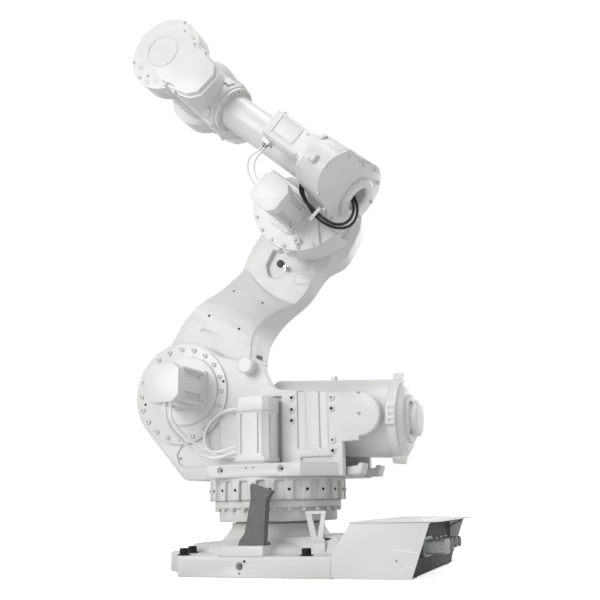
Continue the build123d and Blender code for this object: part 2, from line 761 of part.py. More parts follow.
REAR_FLANGE = -150
LUG_HALF_WIDTH = 58
with BuildPart() as cylinder_flange:
    with BuildSketch(cylinder_section(REAR_FLANGE)) as flange_face:
        Circle(CYLINDER_RADIUS + 6)
        for side in (1, -1):
            Polygon(
                (-LUG_HALF_WIDTH, 0),
                (-LUG_HALF_WIDTH, side * (CYLINDER_RADIUS + 4)),
                (-LUG_HALF_WIDTH + 18, side * (CYLINDER_RADIUS + 24)),
                (LUG_HALF_WIDTH - 18, side * (CYLINDER_RADIUS + 24)),
                (LUG_HALF_WIDTH, side * (CYLINDER_RADIUS + 4)),
                (LUG_HALF_WIDTH, 0),
                align=None,
            )
            with Locations((side * (CYLINDER_RADIUS - 2), 0)):
                Rectangle(40, 84)
    extrude(amount=CYLINDER_REAR - REAR_FLANGE)
    # Slots in the side blocks
    for side in (1, -1):
        with BuildSketch(cylinder_section(REAR_FLANGE)):
            with Locations([(side * (CYLINDER_RADIUS + 20), along) for along in (26, 0, -26)]):
                Rectangle(16, 12)
        extrude(amount=26, mode=Mode.SUBTRACT)
save(cylinder_flange, "cylinder_flange")

CAP_BASE_RADIUS = 164
CAP_RING_RADIUS = 106
CAP_HUB_RADIUS = 78
with BuildPart() as cylinder_cap:
    with BuildSketch(cylinder_section(REAR_FLANGE)):
        Circle(CAP_BASE_RADIUS)
    extrude(amount=-22, taper=45)
    with BuildSketch(cylinder_section(REAR_FLANGE - 22)):
        Circle(CAP_RING_RADIUS)
    extrude(amount=-16)
    with BuildSketch(cylinder_section(REAR_FLANGE - 38)):
        Circle(CAP_HUB_RADIUS)
    extrude(amount=-32)
    rims = cylinder_cap.edges().filter_by(GeomType.CIRCLE).sort_by(Axis.X)
    fillet(rims[0], 12)
save(cylinder_cap, "cylinder_cap")

# Piston rod on the pin of the lower arm
ROD_RADIUS = 28
ROD_LENGTH = 480
EYE_RADIUS = 42
EYE_HALF = 30
PIN_RADIUS = 20
PIN_REACH = BALANCE_PIN_RADIUS
ROD_FAR = ((PIN_X - TRUNNION_X) ** 2 + (PIN_Z - TRUNNION_Z) ** 2) ** 0.5

with BuildPart() as piston_rod:
    with BuildSketch(cylinder_section(ROD_FAR - ROD_LENGTH)):
        Circle(ROD_RADIUS)
    extrude(amount=ROD_LENGTH - EYE_RADIUS + 10)
    with BuildSketch(side_plane(CYLINDER_Y + EYE_HALF)):
        with Locations((PIN_X, PIN_Z)):
            Circle(EYE_RADIUS)
    extrude(amount=2 * EYE_HALF)
    with BuildSketch(side_plane(CYLINDER_Y + EYE_HALF)):
        with Locations((PIN_X, PIN_Z)):
            Circle(PIN_RADIUS + PIN_GAP)
    extrude(amount=2 * EYE_HALF, mode=Mode.SUBTRACT)
save(piston_rod, "piston_rod")

# Lower arm: one curved casting, its side outline and its front outline cut from each other
FOOT_RADIUS = 235
HEAD_RADIUS = 248
HEAD_NEAR_FACE = -200
HEAD_SEAT = -191.3
SLOT_HALF = 48
ARM_WIDTH = 480
DRAFT = 62
FRONT_CURVE = ((231, 300), (213, 400), (220, 500), (271, 620), (296, 820), (262, 1010))
REAR_CURVE = (
    (252, 1000),
    (242, 920),
    (190, 850),
    (162, 683),
    (136, 598),
    (113, 523),
    (112, 445),
    (130, 386),
    (158, 330),
)


FACING_RADIUS = 465
NOTCH_ALONG = 872
POCKET_DEPTH = 26


def arm_cross_plane(along):
    """Plane across the lower arm: local x in front of it, local y to the left, facing the elbow."""
    spot = (SHOULDER_X - along * sin(lean), 0, SHOULDER_Z + along * cos(lean))
    return Plane(origin=spot, x_dir=(cos(lean), 0, sin(lean)), z_dir=(-sin(lean), 0, cos(lean)))


def lower_arm_outline(shrink):
    """Side outline of the lower arm: foot, curved front and rear, round head, drawn in by the draft."""
    front = [(reach - shrink, along) for reach, along in FRONT_CURVE]
    rear = [(shrink - reach, along) for reach, along in REAR_CURVE]
    head = HEAD_RADIUS - shrink
    foot = FOOT_RADIUS - shrink
    with BuildLine() as outline:
        Line((foot, 0), (foot, 226))
        Spline((foot, 226), *front, (head, LOWER_ARM_LENGTH))
        ThreePointArc((head, LOWER_ARM_LENGTH), (0, LOWER_ARM_LENGTH + head), (-head, LOWER_ARM_LENGTH))
        Spline((-head, LOWER_ARM_LENGTH), *rear, (-foot, 0))
        ThreePointArc((-foot, 0), (0, -foot), (foot, 0))
    return make_face(outline.edges())


with BuildPart() as lower_arm:
    with BuildSketch(lower_plane(ARM_NEAR_FACE)):
        add(lower_arm_outline(0))
    with BuildSketch(lower_plane(ARM_NEAR_FACE - ARM_WIDTH)):
        add(lower_arm_outline(DRAFT))
    loft(ruled=True)
    # Front outline: the casting steps to the robot's right between shoulder and elbow
    front_view = Plane(
        origin=(SHOULDER_X + 400 * cos(lean), 0, SHOULDER_Z + 400 * sin(lean)),
        x_dir=(-sin(lean), 0, cos(lean)),
        z_dir=(-cos(lean), 0, -sin(lean)),
    )
    with BuildSketch(front_view):
        with BuildLine():
            Polyline((-300, ARM_FAR_FACE), (-300, ARM_NEAR_FACE), (350, ARM_NEAR_FACE))
            Spline(
                (350, ARM_NEAR_FACE), (450, 24), (600, -150), (668, HEAD_NEAR_FACE),
                tangents=((1, 0), (1, -0.2)),
            )
            Polyline((668, HEAD_NEAR_FACE), (1400, HEAD_NEAR_FACE), (1400, -350), (980, -360))
            Spline(
                (980, -360), (800, -384), (600, -366), (440, -300), (260, ARM_FAR_FACE),
                tangents=((-1, 0), (-1, 0)),
            )
            Line((260, ARM_FAR_FACE), (-300, ARM_FAR_FACE))
        make_face()
    extrude(amount=800, mode=Mode.INTERSECT)
    # Facing cut round the elbow, which leaves a low curved step
    with BuildSketch(lower_plane(HEAD_NEAR_FACE + 120)):
        with Locations((0, LOWER_ARM_LENGTH)):
            Circle(FACING_RADIUS)
    extrude(amount=120, mode=Mode.SUBTRACT)
    # Bevel of the head's rear edge, which starts at a notch
    with BuildSketch(arm_cross_plane(NOTCH_ALONG)):
        Polygon((-155, HEAD_NEAR_FACE + 10), (-155, HEAD_NEAR_FACE), (-222, -252), (-330, -252), (-330, -180), align=None)
    extrude(amount=500, mode=Mode.SUBTRACT)
    # Pocket below the elbow drum for the oil plug and the hose
    with BuildSketch(lower_plane(HEAD_NEAR_FACE)) as pocket:
        Polygon(
            (150, 850),
            (146, 735),
            (103, 690),
            (62, 694),
            (-21, 780),
            (-86, 813),
            (-52, 886),
            (0, 884),
            (60, 890),
            align=None,
        )
        fillet(pocket.vertices(), 12)
    extrude(amount=POCKET_DEPTH, mode=Mode.SUBTRACT)
    # Oval pad beside the pocket
    with BuildSketch(lower_plane(HEAD_NEAR_FACE + 3)):
        with Locations((-80, 757)):
            SlotOverall(98, 58, rotation=154.5)
    extrude(amount=3)
    # Shallow slot above the shoulder
    with BuildSketch(lower_plane(ARM_NEAR_FACE)):
        with Locations((100, 299)):
            SlotOverall(60, 13, rotation=-12)
    extrude(amount=4, mode=Mode.SUBTRACT)
    # Seat of the axis 3 gear
    with BuildSketch(lower_plane(HEAD_SEAT)):
        with Locations((0, LOWER_ARM_LENGTH)):
            Circle(180)
    extrude(amount=HEAD_SEAT - HEAD_NEAR_FACE)
    # Fork that takes the rod eye of the balancing cylinder
    with BuildSketch(lower_plane(CYLINDER_Y + SLOT_HALF)):
        with BuildLine():
            Polyline(
                (-118, 320),
                (-118, -60),
                (-20, -360),
                (-420, -360),
                (-420, 320),
                close=True,
            )
        make_face()
    extrude(amount=2 * SLOT_HALF, mode=Mode.SUBTRACT)
    with BuildSketch(lower_plane(CYLINDER_Y + 95)):
        with Locations((-PIN_REACH, 0)):
            Circle(PIN_RADIUS)
    extrude(amount=190, mode=Mode.SUBTRACT)
save(lower_arm, "lower_arm")

with BuildPart() as balance_pin:
    with BuildSketch(lower_plane(CYLINDER_Y + 95)):
        with Locations((-PIN_REACH, 0)):
            Circle(PIN_RADIUS - 0.3)
    extrude(amount=190)
save(balance_pin, "balance_pin")

with BuildPart() as pocket_plug:
    with BuildSketch(lower_plane(HEAD_NEAR_FACE - POCKET_DEPTH + 12)):
        with Locations((86, 776)):
            Circle(19)
    extrude(amount=12)
save(pocket_plug, "pocket_plug")

# Upper arm housing: elbow drum, body round axis 4 and the rear gear case
DRUM_RADIUS = 246
DRUM_FACE = 56
DRUM_INNER = -191
COVER_RADIUS = 254
COVER_FACE = 73
CASE_REAR = -165
CASE_FRONT = -50
CASE_CENTRE = (85, 165)
DRUM_NECK_FACE = -110
DRUM_NECK_RADIUS = 196
HOLE_DEPTH = 100
BODY_RADIUS = 150
BODY_FRONT = 70
HOLE_RADIUS = 60
TUBE_RADIUS = 91
TUBE_FLANGE_RADIUS = 132


CASE_CURVE = (
    (360, 82),
    (402, 160),
    (366, 236),
    (302, 284),
    (216, 300),
    (134, 318),
    (16, 340),
    (-76, 326),
    (-164, 262),
    (-191, 165),
    (-176, 94),
    (-110, 36),
    (-20, -2),
    (60, 4),
    (160, 32),
    (290, 44),
)
COVER_CURVE = (
    (360, 82),
    (402, 160),
    (366, 232),
    (302, 276),
    (234, 277),
    (180, 282),
    (120, 302),
    (16, 340),
    (-76, 326),
    (-164, 262),
    (-191, 165),
    (-176, 94),
    (-110, 36),
    (-20, -2),
    (60, 4),
    (160, 32),
    (290, 44),
)


def smooth_outline(curve, grow):
    """Closed smooth outline through points, pushed out from the middle of the case."""
    points = []
    for left, above in curve:
        away = Vector(left - CASE_CENTRE[0], above - CASE_CENTRE[1])
        point = away * ((away.length + grow) / away.length)
        points.append((CASE_CENTRE[0] + point.X, CASE_CENTRE[1] + point.Y))
    with BuildLine() as outline:
        Spline(*points, periodic=True)
    return make_face(outline.edges())


with BuildPart() as arm_housing:
    with BuildSketch(arm_plane(DRUM_FACE)):
        Circle(DRUM_RADIUS)
        with Locations((CASE_REAR - 200, 275)):
            Rectangle(400, 600, mode=Mode.SUBTRACT)
    extrude(amount=DRUM_FACE - DRUM_NECK_FACE)
    # Narrower neck towards the lower arm
    with BuildSketch(arm_plane(DRUM_NECK_FACE)):
        Circle(DRUM_NECK_RADIUS)
        with Locations((CASE_REAR - 200, 275)):
            Rectangle(400, 600, mode=Mode.SUBTRACT)
    extrude(amount=DRUM_NECK_FACE - DRUM_INNER)
    # Lugs under the drum
    with BuildSketch(arm_plane(DRUM_FACE)):
        with Locations((-38, -DRUM_RADIUS), (-92, -DRUM_RADIUS + 22)):
            Circle(26)
    extrude(amount=60)
    # Cradle in the drum for the turning tube
    with BuildSketch(arm_section(BODY_FRONT)):
        with Locations((0, ELBOW_RISE)):
            Circle(TUBE_FLANGE_RADIUS + SWING_GAP)
    extrude(amount=300, mode=Mode.SUBTRACT)
    with BuildSketch(arm_section(CASE_REAR)):
        add(smooth_outline(CASE_CURVE, 0))
    extrude(amount=CASE_FRONT - CASE_REAR)
    # Lifting lug on the near side of the case
    with BuildSketch(arm_section(CASE_REAR + 45)):
        with Locations((400, 150)):
            RectangleRounded(44, 40, 12)
    extrude(amount=30)
    with BuildSketch(arm_section(CASE_FRONT)):
        with Locations((0, ELBOW_RISE)):
            Circle(BODY_RADIUS + 20)
    with BuildSketch(arm_section(BODY_FRONT)):
        with Locations((0, ELBOW_RISE)):
            Circle(BODY_RADIUS - 10)
    loft()
    # Hollow shaft for the cables
    with BuildSketch(arm_section(CASE_REAR)):
        with Locations((0, ELBOW_RISE)):
            Circle(HOLE_RADIUS)
    extrude(amount=HOLE_DEPTH, mode=Mode.SUBTRACT)
save(arm_housing, "arm_housing")

with BuildPart() as gear_cover:
    with BuildSketch(arm_plane(COVER_FACE)):
        Circle(COVER_RADIUS)
        with Locations((0, 300)):
            Rectangle(600, 600, mode=Mode.SUBTRACT)
        with Locations((CASE_FRONT - 196, 282)):
            Rectangle(400, 600, mode=Mode.SUBTRACT)
        # The flat face ends in a straight edge behind the motor
        Polygon((-130, -29), (-260, -153), (-400, -153), (-400, 60), (-130, 60), align=None, mode=Mode.SUBTRACT)
    extrude(amount=COVER_FACE - DRUM_FACE)
    with BuildSketch(arm_plane(COVER_FACE + 16)):
        with Locations((5, -78)):
            RectangleRounded(196, 196, 60)
        with Locations((0, 300)):
            Rectangle(600, 600, mode=Mode.SUBTRACT)
        with Locations((CASE_FRONT - 196, 282)):
            Rectangle(400, 600, mode=Mode.SUBTRACT)
    extrude(amount=16)
    with BuildSketch(arm_plane(COVER_FACE + 26)):
        with Locations((-126, -170)):
            Circle(18)
    extrude(amount=26)
    with BuildSketch(arm_plane(COVER_FACE + 26)):
        with Locations((-126, -170)):
            Circle(6)
    extrude(amount=12, mode=Mode.SUBTRACT)
save(gear_cover, "gear_cover")

MOTOR_3_CENTRE = (5, -78)
MOTOR_3_HALF = 78
lying_motor(arm_plane, MOTOR_3_CENTRE, MOTOR_3_HALF, COVER_FACE + 16, 338, "motor_3")

with BuildPart() as rear_cover:
    with BuildSketch(arm_section(CASE_REAR - 12)):
        add(smooth_outline(COVER_CURVE, 6))
    extrude(amount=12)
    with BuildSketch(arm_section(CASE_REAR - 12)):
        with Locations((0, ELBOW_RISE)):
            Circle(HOLE_RADIUS)
    extrude(amount=12, mode=Mode.SUBTRACT)
save(rear_cover, "rear_cover")

COLLAR_RING = 84
COLLAR_ROUND = 23
with BuildPart() as cable_collar:
    with BuildSketch(arm_section(CASE_REAR - 12)):
        with Locations((0, ELBOW_RISE)):
            Circle(COLLAR_RING + COLLAR_ROUND)
            Circle(HOLE_RADIUS, mode=Mode.SUBTRACT)
    extrude(amount=-26)
    rim = cable_collar.edges().filter_by(GeomType.CIRCLE).sort_by(Axis.X)
    fillet(rim[0:2], 14)
save(cable_collar, "cable_collar")

# Motor 4 in its box beside the tube
MOTOR_4_LENGTH = 252
MOTOR_4_FRONT = CASE_FRONT + 34 + MOTOR_4_LENGTH
with BuildPart() as motor_4:
    with BuildSketch(arm_section(CASE_FRONT)):
        with Locations((266, 180)):
            RectangleRounded(190, 196, 40)
    extrude(amount=34)
    with BuildSketch(arm_section(CASE_FRONT + 34)) as box_face:
        with Locations((268, 188)):
            Rectangle(156, 148)
        chamfer(box_face.vertices(), 14)
    extrude(amount=MOTOR_4_LENGTH)
    # Lip along the lower edge and raised panel inside a groove
    with BuildSketch(arm_plane(350)):
        with Locations((118, 128)):
            Rectangle(212, 12)
    extrude(amount=60)
    with BuildSketch(arm_plane(346)):
        with Locations((126, 192)):
            Rectangle(140, 92)
            Rectangle(124, 76, mode=Mode.SUBTRACT)
    extrude(amount=5, mode=Mode.SUBTRACT)
    # Connector block at the front, where the white hoses come out
    with BuildSketch(arm_section(MOTOR_4_FRONT)):
        with Locations((216, 128)):
            Rectangle(44, 60)
    extrude(amount=50)
save(motor_4, "motor_4")

# Forearm tube that turns on axis 4
FORK_REAR = UPPER_ARM_LENGTH - 314
TUBE_FRONT = FORK_REAR - 30
with BuildPart() as forearm_tube:
    with BuildSketch(arm_section(BODY_FRONT + BEARING_GAP)):
        with Locations((0, ELBOW_RISE)):
            Circle(TUBE_FLANGE_RADIUS)
    extrude(amount=26)
    with BuildSketch(arm_section(BODY_FRONT + BEARING_GAP + 26)):
        with Locations((0, ELBOW_RISE)):
            Circle(TUBE_RADIUS)
    extrude(amount=TUBE_FRONT - BODY_FRONT - BEARING_GAP - 26)
    with BuildSketch(arm_section(TUBE_FRONT - 22)):
        with Locations((0, ELBOW_RISE)):
            Circle(124)
    extrude(amount=22)
save(forearm_tube, "forearm_tube")

# Wrist housing: a fork round the tilt housing
FORK_RADIUS = 195
FORK_HALF = 262
FORK_INNER = 150
FORK_THROAT = UPPER_ARM_LENGTH - 186
NECK_RIBS = 8
with BuildPart() as wrist_housing:
    with BuildSketch(arm_plane(FORK_HALF)):
        with Locations((UPPER_ARM_LENGTH, ELBOW_RISE)):
            Circle(FORK_RADIUS)
        with Locations((FORK_REAR + 128, ELBOW_RISE - 6)):
            Circle(128)
        with BuildLine():
            Polyline(
                (FORK_REAR + 128, ELBOW_RISE + 122),
                (UPPER_ARM_LENGTH - 120, ELBOW_RISE + 130),
                (UPPER_ARM_LENGTH, ELBOW_RISE + 130),
                (UPPER_ARM_LENGTH, ELBOW_RISE - 130),
                (UPPER_ARM_LENGTH - 120, ELBOW_RISE - 130),
                (FORK_REAR + 128, ELBOW_RISE - 134),
                close=True,
            )
        make_face()
    extrude(amount=2 * FORK_HALF)
    # Neck with its flange against the tube
    with BuildSketch(arm_section(TUBE_FRONT)):
        with Locations((0, ELBOW_RISE)):
            Circle(128)
    extrude(amount=120)
    # Ribs round the neck
    with BuildSketch(arm_section(TUBE_FRONT + 26)):
        with Locations((0, ELBOW_RISE)):
            with PolarLocations(128, NECK_RIBS):
                Rectangle(16, 48)
    extrude(amount=64)
    # Slot for the tilt housing
    with BuildSketch(arm_plane(FORK_INNER)):
        with Locations((FORK_THROAT + 300, ELBOW_RISE)):
            Rectangle(600, 600)
    extrude(amount=2 * FORK_INNER, mode=Mode.SUBTRACT)
save(wrist_housing, "wrist_housing")


WRIST_COVER = (
    (140, 58),
    (28, 112),
    (-114, 122),
    (-201, 113),
    (-250, 103),
    (-318, 91),
    (-354, 50),
    (-340, -63),
    (-296, -105),
    (-232, -120),
    (-188, -108),
    (-112, -124),
    (58, -95),
    (147, -54),
    (153, -5),
)


def wrist_outline(grow):
    """Outline of the wrist's side cover, pushed out from its middle."""
    points = []
    for along, above in WRIST_COVER:
        away = Vector(along + 100, above)
        point = away * ((away.length + grow) / away.length)
        points.append((UPPER_ARM_LENGTH - 100 + point.X, ELBOW_RISE + point.Y))
    return points


def wrist_side(side, label):
    """Side cover of the wrist on its lower flange, with a raised ring."""
    with BuildPart() as cover:
        with BuildSketch(arm_plane(side * (FORK_HALF + 12))) as lower_flange:
            Polygon(*wrist_outline(16), align=None)
            fillet(lower_flange.vertices(), 10)
        extrude(amount=side * 12)
        with BuildSketch(arm_plane(side * (FORK_HALF + 34))) as shell:
            Polygon(*wrist_outline(0), align=None)
            fillet(shell.vertices(), 12)
        extrude(amount=side * 22)
        with BuildSketch(arm_plane(side * (FORK_HALF + 38))):
            with Locations((UPPER_ARM_LENGTH - 2, ELBOW_RISE)):
                Circle(88)
                Circle(82, mode=Mode.SUBTRACT)
        extrude(amount=side * 4)
    save(cover, label)


wrist_side(1, "wrist_cover_left")
wrist_side(-1, "wrist_cover_right")

# Tilt housing of axis 5
TILT_HALF = 142
TILT_RADIUS = 148
TILT_FRONT = 224
with BuildPart() as tilt_housing:
    with BuildSketch(arm_plane(TILT_HALF)):
        with Locations((UPPER_ARM_LENGTH, ELBOW_RISE)):
            Circle(TILT_RADIUS)
    extrude(amount=2 * TILT_HALF)
    with BuildSketch(arm_section(UPPER_ARM_LENGTH)):
        with Locations((0, ELBOW_RISE)):
            Circle(132)
    extrude(amount=TILT_FRONT)
    # Bearing seats against the fork
    with BuildSketch(arm_plane(FORK_INNER - BEARING_GAP)):
        with Locations((UPPER_ARM_LENGTH, ELBOW_RISE)):
            Circle(110)
    extrude(amount=2 * (FORK_INNER - BEARING_GAP))
save(tilt_housing, "tilt_housing")

# Turning disc of axis 6 with the tool flange
DISC_RADIUS = 125
FLANGE_PITCH_RADIUS = 100
FLANGE_BOLTS = 6
FLANGE_HOLE_RADIUS = 7
DOWEL_RADIUS = 8
PILOT_RADIUS = 62.5
with BuildPart() as turning_disc:
    with BuildSketch(arm_section(UPPER_ARM_LENGTH + TILT_FRONT + BEARING_GAP)):
        with Locations((0, ELBOW_RISE)):
            Circle(DISC_RADIUS)
    extrude(amount=WRIST_TO_FLANGE - TILT_FRONT - BEARING_GAP)
    with BuildSketch(arm_section(UPPER_ARM_LENGTH + WRIST_TO_FLANGE)):
        with Locations((0, ELBOW_RISE)):
            with PolarLocations(FLANGE_PITCH_RADIUS, FLANGE_BOLTS):
                Circle(FLANGE_HOLE_RADIUS)
        with Locations((0, ELBOW_RISE + FLANGE_PITCH_RADIUS)):
            Circle(DOWEL_RADIUS)
    extrude(amount=-18, mode=Mode.SUBTRACT)
    with BuildSketch(arm_section(UPPER_ARM_LENGTH + WRIST_TO_FLANGE)):
        with Locations((0, ELBOW_RISE)):
            Circle(PILOT_RADIUS)
    extrude(amount=-10, mode=Mode.SUBTRACT)
save(turning_disc, "turning_disc")

# Cables. Their points are chosen by hand along the routes seen on the arm.
CABLE_RADIUS = 7
HOSE_RADIUS = 5
HOLE_FLOOR = CASE_REAR + HOLE_DEPTH
MOTOR_4_UNDERSIDE = 180 - 98
TAG_FACE = 163
TAG_THICK = 7
ARM_CABLE_1 = (
    (HOLE_FLOOR - 0.1, 0, 172),
    (-120, 0, 172),
    (-172, 3, 166),
    (-226, 10, 138),
    (-268, 28, 86),
    (-284, 64, 34),
    (-262, 104, -10),
    (-206, 132, -30),
    (-146, 143, -29),
    (-92, 152, -9),
    (-44, 166, 14),
    (-33, 190, 36),
    (-33, 214, 60),
    (-33, 214, MOTOR_4_UNDERSIDE),
)
ARM_CABLE_2 = (
    (HOLE_FLOOR - 0.1, 23, 160),
    (-122, 23, 160),
    (-178, 27, 152),
    (-226, 36, 122),
    (-258, 54, 76),
    (-266, 84, 30),
    (-244, 116, -4),
    (-196, 138, -14),
    (-140, 155, -12),
    (-90, 171, -6),
    (-42, 190, 12),
    (-34, 220, 30),
    (-34, 240, 54),
    (-34, 240, MOTOR_4_UNDERSIDE),
)
WHITE_HOSE_1 = (
    (MOTOR_4_FRONT + 37, 212, 98),
    (MOTOR_4_FRONT + 37, 212, 56),
    (300, 208, 10),
    (278, 204, -40),
    (226, 200, -76),
    (160, 200, -88),
    (78, 200, -88),
)
WHITE_HOSE_2 = (
    (MOTOR_4_FRONT + 15, 222, 98),
    (MOTOR_4_FRONT + 15, 222, 58),
    (258, 218, 12),
    (234, 212, -32),
    (190, 206, -58),
    (136, 204, -66),
    (78, 204, -66),
)
MOTOR_1_FRONT = MOTOR_1_CENTRE[0] + MOTOR_1_HALF - 2
MOTOR_2_BOTTOM = MOTOR_2_CENTRE[1] - MOTOR_2_HALF
SHOULDER_CABLE_1 = (
    (346, 420, MOTOR_2_BOTTOM),
    (346, 420, 660),
    (350, 384, 618),
    (340, 330, 576),
    (316, 278, 534),
    (278, 240, 498),
    (230, 220, 478),
    (176, 212, 480),
    (128, 212, 500),
    (MOTOR_1_FRONT, 212, 500),
)
SHOULDER_CABLE_2 = (
    (318, 424, MOTOR_2_BOTTOM),
    (318, 424, 664),
    (322, 392, 628),
    (314, 340, 588),
    (290, 292, 550),
    (254, 256, 520),
    (212, 236, 502),
    (168, 232, 504),
    (126, 232, 520),
    (MOTOR_1_FRONT, 232, 520),
)
SHOULDER_LOOP = (
    (MOTOR_1_FRONT + 2, 196, 690),
    (140, 196, 690),
    (192, 188, 680),
    (238, 182, 652),
    (276, 182, 608),
    (284, 182, 556),
    (258, 184, 512),
    (210, 188, 486),
    (152, 196, 482),
    (MOTOR_1_FRONT, 196, 482),
)

for number, route in enumerate((ARM_CABLE_1, ARM_CABLE_2), 1):
    cord([arm_point(*point) for point in route], CABLE_RADIUS, f"arm_cable_{number}")
for number, route in enumerate((WHITE_HOSE_1, WHITE_HOSE_2), 1):
    cord([arm_point(*point) for point in route], HOSE_RADIUS, f"white_hose_{number}")
cord(SHOULDER_CABLE_1, CABLE_RADIUS, "shoulder_cable_1")
cord(SHOULDER_CABLE_2, HOSE_RADIUS, "shoulder_cable_2")
cord(SHOULDER_LOOP, CABLE_RADIUS, "shoulder_loop")

# Blank marker plate on the black cables
with BuildPart() as cable_tag:
    with BuildSketch(arm_plane(TAG_FACE)):
        with Locations((-149, -22)):
            with Locations(Rotation(0, 0, 92)):
                Rectangle(74, 17)
    extrude(amount=TAG_THICK)
save(cable_tag, "cable_tag")
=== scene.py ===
import json
import math

import bmesh
import bpy
from mathutils import Matrix, Vector
from mathutils.bvhtree import BVHTree


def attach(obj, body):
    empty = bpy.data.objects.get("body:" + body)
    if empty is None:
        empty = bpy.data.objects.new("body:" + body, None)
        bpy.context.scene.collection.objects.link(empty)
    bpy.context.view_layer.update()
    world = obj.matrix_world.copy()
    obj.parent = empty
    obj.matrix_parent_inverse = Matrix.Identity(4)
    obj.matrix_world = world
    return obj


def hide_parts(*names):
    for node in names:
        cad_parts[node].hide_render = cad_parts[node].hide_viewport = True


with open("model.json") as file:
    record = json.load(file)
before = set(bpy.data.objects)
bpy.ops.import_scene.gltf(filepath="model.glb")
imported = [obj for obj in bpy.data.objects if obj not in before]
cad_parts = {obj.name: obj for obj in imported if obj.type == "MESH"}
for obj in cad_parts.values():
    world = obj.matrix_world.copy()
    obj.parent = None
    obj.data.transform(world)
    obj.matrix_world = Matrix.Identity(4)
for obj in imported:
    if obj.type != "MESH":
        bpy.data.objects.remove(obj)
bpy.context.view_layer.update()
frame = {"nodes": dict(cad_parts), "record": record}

MM = 0.001
NODES = frame["nodes"]
SCENE = bpy.context.scene

# Joint layout of the arm in millimetres, as in the part's source
SHOULDER = Vector((410, 0, 780))
LOWER_ARM_LENGTH = 1075
LEAN = math.radians(32.6)
RISE = math.radians(43.0)
ELBOW = SHOULDER + Vector((-math.sin(LEAN), 0, math.cos(LEAN))) * LOWER_ARM_LENGTH
ALONG = Vector((math.cos(RISE), 0, math.sin(RISE)))
ABOVE = Vector((-math.sin(RISE), 0, math.cos(RISE)))
LEFT = Vector((0, 1, 0))
LOWER_FRONT = Vector((math.cos(LEAN), 0, math.sin(LEAN)))
LOWER_UP = Vector((-math.sin(LEAN), 0, math.cos(LEAN)))
AXIS_4 = 165
WRIST = 1056


def arm_point(along, left, above):
    """Point from its millimetres along, left of and above the elbow axis."""
    return (ELBOW + ALONG * along + LEFT * left + ABOVE * above) * MM


def lower_point(front, left, up):
    """Point from its millimetres in front of, left of and up the lower arm."""
    return (SHOULDER + LOWER_FRONT * front + LEFT * left + LOWER_UP * up) * MM


def point(x, y, z):
    return Vector((x, y, z)) * MM


# Materials


def srgb(code):
    """Linear colour from an sRGB hex value."""
    parts = [int(code[start : start + 2], 16) / 255 for start in (0, 2, 4)]
    linear = [c / 12.92 if c <= 0.04045 else ((c + 0.055) / 1.055) ** 2.4 for c in parts]
    return (*linear, 1.0)


def add_node(tree, kind, settings=None, links=None):
    """A new node: settings are its properties or input values, links its inputs' sources."""
    node = tree.nodes.new(kind)
    for name, value in (settings or {}).items():
        if isinstance(name, str) and name not in node.inputs:
            setattr(node, name, value)
        else:
            node.inputs[name].default_value = value
    for name, source in (links or {}).items():
        tree.links.new(source, node.inputs[name])
    return node


def new_material(name, colour, roughness, metallic=0.0):
    """An empty material with its shader, the object's coordinates in millimetres and its output."""
    material = bpy.data.materials.new(name)
    material.use_nodes = True
    tree = material.node_tree
    tree.nodes.clear()
    shader = add_node(
        tree,
        "ShaderNodeBsdfPrincipled",
        {"Base Color": srgb(colour), "Roughness": roughness, "Metallic": metallic},
    )
    add_node(tree, "ShaderNodeOutputMaterial", links={"Surface": shader.outputs[0]})
    place = add_node(tree, "ShaderNodeTexCoord").outputs["Object"]
    settings = {"operation": "SCALE", "Scale": 1 / MM}
    place = add_node(tree, "ShaderNodeVectorMath", settings, {0: place})
    material.diffuse_color = srgb(colour)
    return material, tree, shader, place.outputs[0]


def noise(tree, place, size_mm, detail=3.0, rough=0.5):
    """Noise whose blots are about size_mm across."""
    settings = {"Scale": 1.0 / size_mm, "Detail": detail, "Roughness": rough}
    return add_node(tree, "ShaderNodeTexNoise", settings, {"Vector": place}).outputs["Fac"]


def spread(tree, value, low, high, from_low=0.3, from_high=0.7):
    """The value stretched from one range to another."""
    settings = {1: from_low, 2: from_high, 3: low, 4: high}
    return add_node(tree, "ShaderNodeMapRange", settings, {0: value}).outputs[0]


def tint(tree, factor, dark, light):
    """Colour between two sRGB values."""
    settings = {"data_type": "RGBA", 6: srgb(dark), 7: srgb(light)}
    return add_node(tree, "ShaderNodeMix", settings, {0: factor}).outputs[2]


def relief(tree, shader, height, depth_mm, strength=1.0, edge_mm=0.0):
    """Bump from a height field over edges rounded by edge_mm, both in millimetres."""
    settings = {"Strength": strength, "Distance": depth_mm * MM}
    bump = add_node(tree, "ShaderNodeBump", settings, {"Height": height})
    if edge_mm:
        rounded = add_node(tree, "ShaderNodeBevel", {"samples": 4, "Radius": edge_mm * MM})
        tree.links.new(rounded.outputs[0], bump.inputs["Normal"])
    tree.links.new(bump.outputs[0], shader.inputs["Normal"])


def make_cast_enamel():
    # Two-pack enamel sprayed over iron castings: satin, with the casting's soft waviness
    # and the sand's grain just showing through
    material, tree, shader, place = new_material("sprayed_enamel_on_casting", "DCDCDA", 0.42)
    blot = spread(tree, noise(tree, place, 260, 2), 0, 1)
    tree.links.new(tint(tree, blot, "D8D8D6", "DFDFDD"), shader.inputs["Base Color"])
    tree.links.new(spread(tree, noise(tree, place, 60, 3), 0.36, 0.48), shader.inputs["Roughness"])
    # Sand grain of about 0.8 mm drawn at 5 mm so that it shows
    grain = noise(tree, place, 5, 4, 0.6)
    # Cast edges are rounded by about 10 mm
    relief(tree, shader, grain, 0.25, 0.6, 10)
    shader.inputs["Coat Weight"].default_value = 0.08
    shader.inputs["Coat Roughness"].default_value = 0.25
    return material


